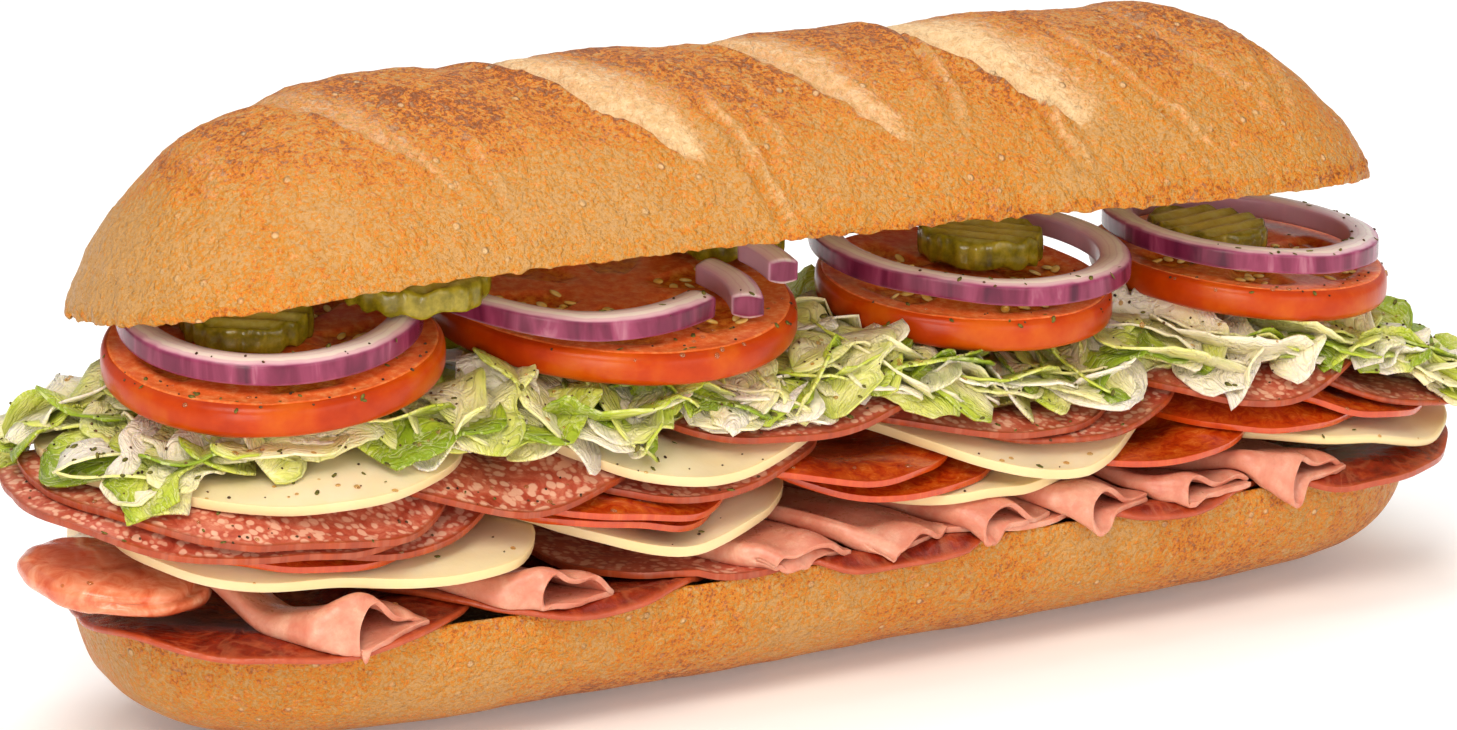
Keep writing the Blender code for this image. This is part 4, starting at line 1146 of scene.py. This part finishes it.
def make_onion(name):
    """Red onion: wet, crisp, slightly clear flesh under a purple outer skin."""
    look, shader = new_look(name, IOR=1.4, Specular_IOR_Level=0.5, Roughness=0.25,
                            Subsurface_Weight=0.3, Subsurface_Scale=0.004,
                            Subsurface_Radius=(1.0, 0.6, 0.8))
    place = add(look, "TexCoord", out="Object")
    across = add(look, "Attribute", out="Fac", attribute_name="across")
    flat_top = add(look, "Attribute", out="Fac", attribute_name="cut")
    streak = add(look, "Mapping", {"Vector": place, "Scale": (1.0, 1.0, 0.2)})
    streak = add(look, "TexNoise", {"Vector": streak, "Scale": 210.0, "Detail": 4.0, "Distortion": 0.6})
    soft = add(look, "TexNoise", {"Vector": place, "Scale": 90.0, "Detail": 3.0})
    skin = add(look, "ValToRGB", {"Fac": streak},
               stops=[(0.3, "#50122E"), (0.48, "#742342"), (0.62, "#903A5A"), (0.80, "#C08494")])
    amount = add(look, "MapRange", {0: soft, 1: 0.3, 2: 0.7, 3: -0.06, 4: 0.06})
    bent = add(look, "Math", {0: across, 1: amount})
    layer = add(look, "Math", {0: bent, 1: 26.0}, operation="MULTIPLY")
    layer = add(look, "Math", {0: layer}, operation="SINE")
    meat = add(look, "ValToRGB", {"Fac": bent}, stops=[(0.0, "#D9A9BC"), (0.25, "#EBD2D2"),
                                                       (0.7, "#F3E6DC"), (0.88, "#E0B4C2"),
                                                       (1.0, "#A84C78")])
    amount = add(look, "MapRange", {0: layer, 1: 0.6, 2: 1.0, 3: 0.0, 4: 0.3})
    meat = add(look, "Mix", {0: amount, 6: meat, 7: "#D39DB4"}, out=2, data_type="RGBA")
    colour = add(look, "Mix", {0: flat_top, 6: skin, 7: meat}, out=2, data_type="RGBA")
    wire(look, shader, Base_Color=colour)
    wire(look, shader, Normal=add(look, "Bump", {"Height": streak, "Distance": 0.0003, "Strength": 0.4}))
    return look


onion_look = make_onion("red_onion")


def mark_onion(piece, middle, width):
    """Marks the cut face, and how far across the ring each point lies."""
    points, outward = points_of(piece), normals_of(piece)
    arm = points[:, :2] - middle
    reach = np.hypot(arm[:, 0], arm[:, 1])
    angle = np.arctan2(arm[:, 1], arm[:, 0])
    sector = ((angle + math.pi) / (2 * math.pi) * 36).astype(int)
    outer = np.array([reach[sector == one].max() if (sector == one).any() else 0
                      for one in range(37)])[sector]
    mark(piece, "across", 1 - np.clip((outer - reach) / width, 0, 1))
    facing = (outward[:, :2] * arm).sum(axis=1) / np.maximum(reach, 1e-6)
    cut = np.maximum(smooth_step(np.abs(outward[:, 2]), 0.45, 0.8), smooth_step(-facing, 0.1, 0.5) * 0.75)
    mark(piece, "cut", cut)


onion_middles = {"onion_ring_1": (-0.119, -0.008), "onion_ring_2": (-0.052, -0.007),
                 "onion_ring_3": (0.044, -0.007), "onion_ring_4": (0.112, -0.009),
                 "onion_bit_1": (-0.052, -0.021), "onion_bit_2": (-0.042, -0.023)}
for number, (node, middle) in enumerate(onion_middles.items()):
    ring = rounded_copy(node, node.replace("onion", "red_onion"), 0.55, 3)
    points = points_of(ring)
    move_points(ring, points + drift(points, (0.018, 0.018, 0.022), 40 + number) * 0.5 * MM)
    mark_onion(ring, np.array(middle), 6.5 * MM)
    finish_piece(ring, onion_look, "onion", node)
    raise_bed(ring)


# ------------------------------------------------------------ dill pickle chips
# Five chips of pickled cucumber: knobbly olive-green skin, translucent flesh, cut with
# a rippled blade, wet with brine.

def make_pickle(name):
    """Pickled cucumber: brine-soaked, olive, darker at the skin, clear in the middle."""
    look, shader = new_look(name, IOR=1.4, Specular_IOR_Level=0.6, Roughness=0.18,
                            Subsurface_Weight=0.35, Subsurface_Scale=0.004,
                            Subsurface_Radius=(0.8, 1.0, 0.2))
    place = add(look, "TexCoord", out="Object")
    cut = add(look, "Attribute", out="Fac", attribute_name="cut")
    share = add(look, "Attribute", out="Fac", attribute_name="across")
    tone = add(look, "TexNoise", {"Vector": place, "Scale": 240.0, "Detail": 5.0, "Roughness": 0.65})
    skin = add(look, "ValToRGB", {"Fac": tone}, stops=[(0.3, "#5E5208"), (0.5, "#8A7C12"),
                                                       (0.72, "#B8A430")])
    meat = add(look, "ValToRGB", {"Fac": share}, stops=[(0.0, "#B8A038"), (0.45, "#C8B048"),
                                                        (0.8, "#A49226"), (1.0, "#70640E")])
    amount = add(look, "MapRange", {0: tone, 1: 0.4, 2: 0.65, 3: 0.0, 4: 0.5})
    meat = add(look, "Mix", {0: amount, 6: meat, 7: "#CFC878"}, out=2, data_type="RGBA")
    wire(look, shader, Base_Color=add(look, "Mix", {0: cut, 6: skin, 7: meat}, out=2, data_type="RGBA"))
    wire(look, shader, Normal=add(look, "Bump", {"Height": tone, "Distance": 0.0004, "Strength": 0.5}))
    return look


pickle_look = make_pickle("pickled_cucumber")
for number, thickness in enumerate((5.0, 5.0, 5.0, 5.8, 5.0), start=1):
    chip = spin_profile(f"pickle_chip_{number}", rounded_slab(thickness * MM, 0.7 * MM), 96)
    points, arm, angle, radius = tilted_fit(f"pickle_{number}", chip, 4, 0.97)
    share = np.hypot(arm[:, 0], arm[:, 1]) / radius
    face = np.sign(points_of(chip)[:, 2]) * smooth_step(0.93 - share, 0.0, 0.05)
    ripple = 0.55 * MM * np.sin(2 * math.pi * (arm[:, 0] * math.cos(number) + arm[:, 1]
                                               * math.sin(number)) / 0.0048)
    points[:, 2] += ripple * np.clip(np.abs(points_of(chip)[:, 2]) / (0.5 * thickness * MM), 0, 1)
    ridge = 0.022 * np.cos(22 * angle + number) * smooth_step(share, 0.85, 1.0)
    points[:, :2] += arm * ridge[:, None]
    points += 0.25 * MM * cloud(points, 0.006, 80 + number)[:, None] * np.array((0, 0, 1))
    move_points(chip, points)
    mark(chip, "cut", np.abs(face))
    mark(chip, "across", share)
    finish_piece(chip, pickle_look, "pickle", f"pickle_{number}")
    raise_bed(chip)


# ------------------------------------------------------------ the top half of the roll
# The same dough: slashed on the slant before baking, so that pale tears opened between
# toasted lobes. It is tilted open at the front and rests on the toppings.

CROWN_PLACE = np.array((-0.0065, 0, 0.0885))
CROWN_HEIGHT = 0.041
CROWN_TIP = math.radians(9.6)
roll_top = node_copy("bread_top", "roll_top")
mark_crumb(roll_top, -1)
subdivide(roll_top, 3)
points, outward = points_of(roll_top), normals_of(roll_top)
crumb = marks_of(roll_top, "crumb")
local = points - CROWN_PLACE
across = local[:, 1] * math.cos(CROWN_TIP) - local[:, 2] * math.sin(CROWN_TIP)
rise = (local[:, 1] * math.sin(CROWN_TIP) + local[:, 2] * math.cos(CROWN_TIP)) / CROWN_HEIGHT
# where along the roll each slash is, how wide, and how far it opened
slashes = ((-0.1120, 0.0050, 0.40), (-0.0577, 0.0085, 0.85), (-0.0088, 0.0070, 0.65),
           (0.0341, 0.0110, 1.0), (0.0818, 0.0035, 0.25))
rag = (3.0 * MM * cloud(points, 0.012, 90) + 1.5 * MM * cloud(points, 0.004, 91, 3))
torn = np.zeros(len(points))
lobe = np.ones(len(points))
relief = np.zeros(len(points))
browned = np.zeros(len(points))
for spot, width, depth in slashes:
    off = points[:, 0] + 0.6 * across - spot + rag
    length = 1 - np.clip(np.abs(across + 0.008) / 0.030, 0, 1) ** 2.5
    half = width * np.maximum(length, 0) ** 0.8 + 1e-5
    share = off / half
    here = smooth_step(share, -1.15, -0.7) * (1 - smooth_step(share, -0.1, 1.9))
    torn = np.maximum(torn, here * smooth_step(length, 0.0, 0.3) * depth)
    lip = np.exp(-((share + 1.15) / 0.28) ** 2) * smooth_step(length, 0.0, 0.4)
    dip = np.exp(-((share + 0.55) / 0.38) ** 2) * smooth_step(length, 0.0, 0.4)
    relief += (1.5 * lip - 1.9 * dip) * depth * MM
    relief += 0.5 * MM * here * depth * cloud(np.column_stack([off * 3, across, rise * 0.02]), 0.006, 87)
    browned = np.maximum(browned, lip * depth)
    lobe *= 1 - 0.8 * np.exp(-(off / (2.0 * width + 3 * MM)) ** 2)
crest = smooth_step(rise, 0.40, 0.90)
side = 1 - smooth_step(rise, 0.15, 0.6)
relief += crest * (0.9 * MM * lobe + 0.6 * MM * cloud(points, 0.022, 92))
upright = np.column_stack([points[:, 0] + 0.3 * points[:, 2], points[:, 1] * 0.3, points[:, 2] * 0.3])
crease = np.maximum(1 - np.abs(cloud(upright, 0.013, 93)) * 7, 0) * 0.6
crease *= smooth_step(cloud(points, 0.040, 89), -0.25, 0.3) * (1 - crest) * (1 - crumb)
# where along the roll, how far it leans, how low and how high it runs, and how deep it is
folds = ((-0.138, 0.010, 0.45, 0.75, 0.5), (-0.084, -0.006, 0.30, 0.70, 0.5),
         (-0.027, -0.004, 0.10, 0.72, 1.0), (-0.019, 0.006, 0.35, 0.70, 0.6),
         (0.026, 0.003, 0.45, 0.85, 0.9), (0.047, -0.005, 0.20, 0.80, 1.0),
         (0.072, -0.016, 0.15, 0.85, 0.8), (0.110, 0.008, 0.30, 0.75, 0.6),
         (0.137, -0.006, 0.25, 0.60, 0.5))
for spot, lean, low, high, depth in folds:
    off = points[:, 0] - spot - lean * (rise - 0.5) * 2 + 3.0 * MM * cloud(points, 0.009, 88)
    where = smooth_step(rise, low - 0.1, low + 0.1) * (1 - smooth_step(rise, high - 0.12, high + 0.12))
    crease = np.maximum(crease, np.exp(-(off / (1.0 * MM)) ** 2) * where * depth)
    relief += 0.8 * MM * depth * where * np.exp(-((np.abs(off) - 2.6 * MM) / (1.4 * MM)) ** 2)
    torn = np.maximum(torn, 0.45 * depth * where * np.exp(-((off - 2.4 * MM) / (1.3 * MM)) ** 2))
relief -= 1.0 * MM * crease
relief += 0.5 * MM * cloud(points, 0.008, 94) + 0.22 * MM * cloud(points, 0.0025, 95, 2)
ragged = crumb * (0.8 * MM * cloud(points, 0.004, 96, 3) - 0.4 * MM)
rim = np.exp(-(rise * CROWN_HEIGHT / (2.2 * MM)) ** 2) * (1 - crumb)
relief += rim * 0.9 * MM * cloud(points, 0.003, 97, 2)
sink = 2.4 * MM * smooth_step(points[:, 0], -0.02, 0.13) + 1.2 * MM * smooth_step(-points[:, 0], 0.09, 0.15)
sink *= 1 - smooth_step(rise, -0.1, 0.9)
places = points + outward * (relief * (1 - crumb) + ragged)[:, None]
places[:, 2] -= sink
move_points(roll_top, places)
blotch = smooth_step(cloud(points, 0.016, 98, 3), -0.15, 0.40)
# the creases get a little more toast: painted shade in the grooves
toast = (0.24 + 0.34 * crest + 0.34 * crest * lobe * blotch + 0.16 * browned + 0.25 * rim
         + 0.18 * cloud(points, 0.026, 99) - 0.06 * side + 0.08 * crease)
# browner towards the right end, and paler at the left end as a painted highlight where the key light falls
toast += 0.12 * smooth_step(points[:, 0], 0.06, 0.13) - 0.36 * smooth_step(-points[:, 0], 0.125, 0.165)
mark(roll_top, "toast", toast)
mark(roll_top, "slash", torn)
finish_piece(roll_top, crust_look, "crust", "bread_top")


# ------------------------------------------------------------ herbs, pepper and oil
# Dried oregano and cracked pepper shaken over the filling, and beads of oil that have
# run off the toppings. Each kind is one piece; all lie on the faces turned up or outwards.

def filling_surface():
    """Every finished piece but the roll, as one tree, with the piece each face is from."""
    points, faces, owners = [], [], []
    for piece in bpy.context.scene.objects:
        if piece.type != "MESH" or piece.name in frame["nodes"] or piece.name.startswith("roll"):
            continue
        first = len(points)
        points += [vert.co[:] for vert in piece.data.vertices]
        faces += [[first + corner for corner in face.vertices] for face in piece.data.polygons]
        owners += [piece.name] * len(piece.data.polygons)
    return BVHTree.FromPolygons(points, faces), owners


SPRINKLED = ((-0.168, 0.163), (-0.050, 0.045), (0.030, 0.092))
surface, owners = filling_surface()
lid = surface_of("bread_top")


def sprinkle(dice, count, kinds, sink):
    """Places on the filling that face up or to one side, met from outside the roll."""
    places = []
    while len(places) < count:
        target = Vector([dice.uniform(*span) for span in SPRINKLED])
        swing = dice.choice((-0.5 * math.pi, -0.5 * math.pi, 0.5 * math.pi)) + dice.gauss(0, 0.5)
        ray = Vector((-math.cos(swing), -math.sin(swing), -dice.uniform(0.5, 1.1))).normalized()
        spot, normal, index, _ = surface.ray_cast(target - ray * 0.2, ray)
        if spot is None or lid.ray_cast(target - ray * 0.2, ray, (spot - target + ray * 0.2).length)[0]:
            continue
        if not owners[index].startswith(kinds) or normal.z < 0.15:
            continue
        places.append((spot + normal * sink, normal))
    return places


def make_speck(name, dark, light, roughness):
    """Dry plant matter, ground or crumbled: two tones in each speck."""
    look, shader = new_look(name, Roughness=roughness, Specular_IOR_Level=0.3)
    place = add(look, "TexCoord", out="Object")
    tone = add(look, "TexNoise", {"Vector": place, "Scale": 900.0, "Detail": 3.0})
    amount = add(look, "MapRange", {0: tone, 1: 0.35, 2: 0.65})
    colour = add(look, "Mix", {0: amount, 6: dark, 7: light}, out=2, data_type="RGBA")
    wire(look, shader, Base_Color=colour)
    return look


def make_oil(name):
    """Salad oil tinted by paprika: clear, smooth, amber."""
    look, shader = new_look(name, Roughness=0.04, IOR=1.47, Transmission_Weight=0.85)
    place = add(look, "TexCoord", out="Object")
    tone = add(look, "TexNoise", {"Vector": place, "Scale": 200.0, "Detail": 2.0})
    amount = add(look, "MapRange", {0: tone, 1: 0.3, 2: 0.7})
    colour = add(look, "Mix", {0: amount, 6: "#F6D9A0", 7: "#F0B468"}, out=2, data_type="RGBA")
    wire(look, shader, Base_Color=colour)
    return look


dice = random.Random(31)
toppings = ("tomato_slice", "red_onion", "pickle", "lettuce_blades", "lettuce_ribs", "cheese", "salami")
wet = ("tomato_slice", "cheese", "ham", "salami", "pepperoni", "capicola", "lettuce_blades")
pepper_look = make_speck("black_pepper", "#2A1A10", "#6B4A2C", 0.7)
oregano_look = make_speck("oregano_leaf", "#4A4A18", "#7C7430", 0.8)
oil_look = make_oil("salad_oil")
# name, where it lies, how many, how far out, size in mm and its roundness, tilt, smallest and
# largest scale, material, slot
grains = (
    ("cracked_pepper", toppings, 420, 0.1, (0.75, 0.6, 0.5), 1, 0.3, 0.5, 1.2, pepper_look, "lettuce"),
    ("dried_oregano", toppings, 260, 0.1, (1.7, 0.9, 0.25), 1, 0.25, 0.6, 1.3, oregano_look, "lettuce"),
    ("oil_beads", wet, 240, 0.05, (1.2, 1.0, 0.5), 2, 0.05, 0.4, 1.3, oil_look, "tomato"))
for name, kinds, count, sink, size, levels, tilt, least, most, look, slot in grains:
    places = [stood_at(spot, normal, dice, tilt, dice.uniform(least, most))
              for spot, normal in sprinkle(dice, count, kinds, sink * MM)]
    scatter(name, make_ball([side * MM for side in size], levels), places, look, slot)


# ------------------------------------------------------------ floor, light and camera
# A plain pale floor under soft studio light from four softboxes and a white world, seen
# from the front left and a little above.

def make_floor():
    """A plain white table top."""
    floor = primitive("plane", size=6.0, location=(0, 0, -0.0005))
    floor.name = "floor"
    look, _ = new_look("floor_white", Base_Color="#FDFDFD", Roughness=0.9, Specular_IOR_Level=0.1,
                       Emission_Color="#FFFFFF", Emission_Strength=0.12)
    floor.data.materials.append(look)


def add_softbox(name, place, aim, size, power, tint):
    """A square studio light that looks at aim."""
    lamp = bpy.data.lights.new(name, "AREA")
    lamp.shape = "RECTANGLE"
    lamp.size, lamp.size_y = size
    lamp.energy = power
    lamp.color = linear(tint)[:3]
    item = bpy.data.objects.new(name, lamp)
    bpy.context.scene.collection.objects.link(item)
    item.location = place
    item.rotation_euler = (Vector(aim) - Vector(place)).to_track_quat("-Z", "Y").to_euler()


make_floor()
middle = (0.0, 0.0, 0.06)
add_softbox("key_softbox", (-0.75, -0.75, 1.15), middle, (0.7, 0.7), 13, "#FFF4E6")
add_softbox("front_softbox", (0.35, -1.35, 0.45), middle, (1.0, 0.7), 5.0, "#FFF7EE")
add_softbox("low_softbox", (-1.0, -1.15, 0.22), middle, (0.6, 0.4), 6.0, "#FFF7EE")
add_softbox("top_softbox", (0.2, 0.35, 1.25), middle, (1.1, 0.8), 8.5, "#FFFFFF")

world = bpy.data.worlds.new("studio")
bpy.context.scene.world = world
world.use_nodes = True
world.node_tree.nodes["Background"].inputs["Color"].default_value = linear("#FFFFFF")
world.node_tree.nodes["Background"].inputs["Strength"].default_value = 0.48
bpy.context.scene.view_settings.view_transform = "Standard"

AZIMUTH, ELEVATION = math.radians(-30), math.radians(15)
CAMERA_AIM = Vector((-0.0102, 0.0, 0.0591))
CAMERA_REACH = 1.2
eye = bpy.data.cameras.new("camera")
eye.lens = 142.9
eye.sensor_width = 36
camera = bpy.data.objects.new("camera", eye)
bpy.context.scene.collection.objects.link(camera)
back = Vector((math.sin(AZIMUTH) * math.cos(ELEVATION), -math.cos(AZIMUTH) * math.cos(ELEVATION),
               math.sin(ELEVATION)))
camera.location = CAMERA_AIM + back * CAMERA_REACH
camera.rotation_euler = (-back).to_track_quat("-Z", "Y").to_euler()
bpy.context.scene.camera = camera
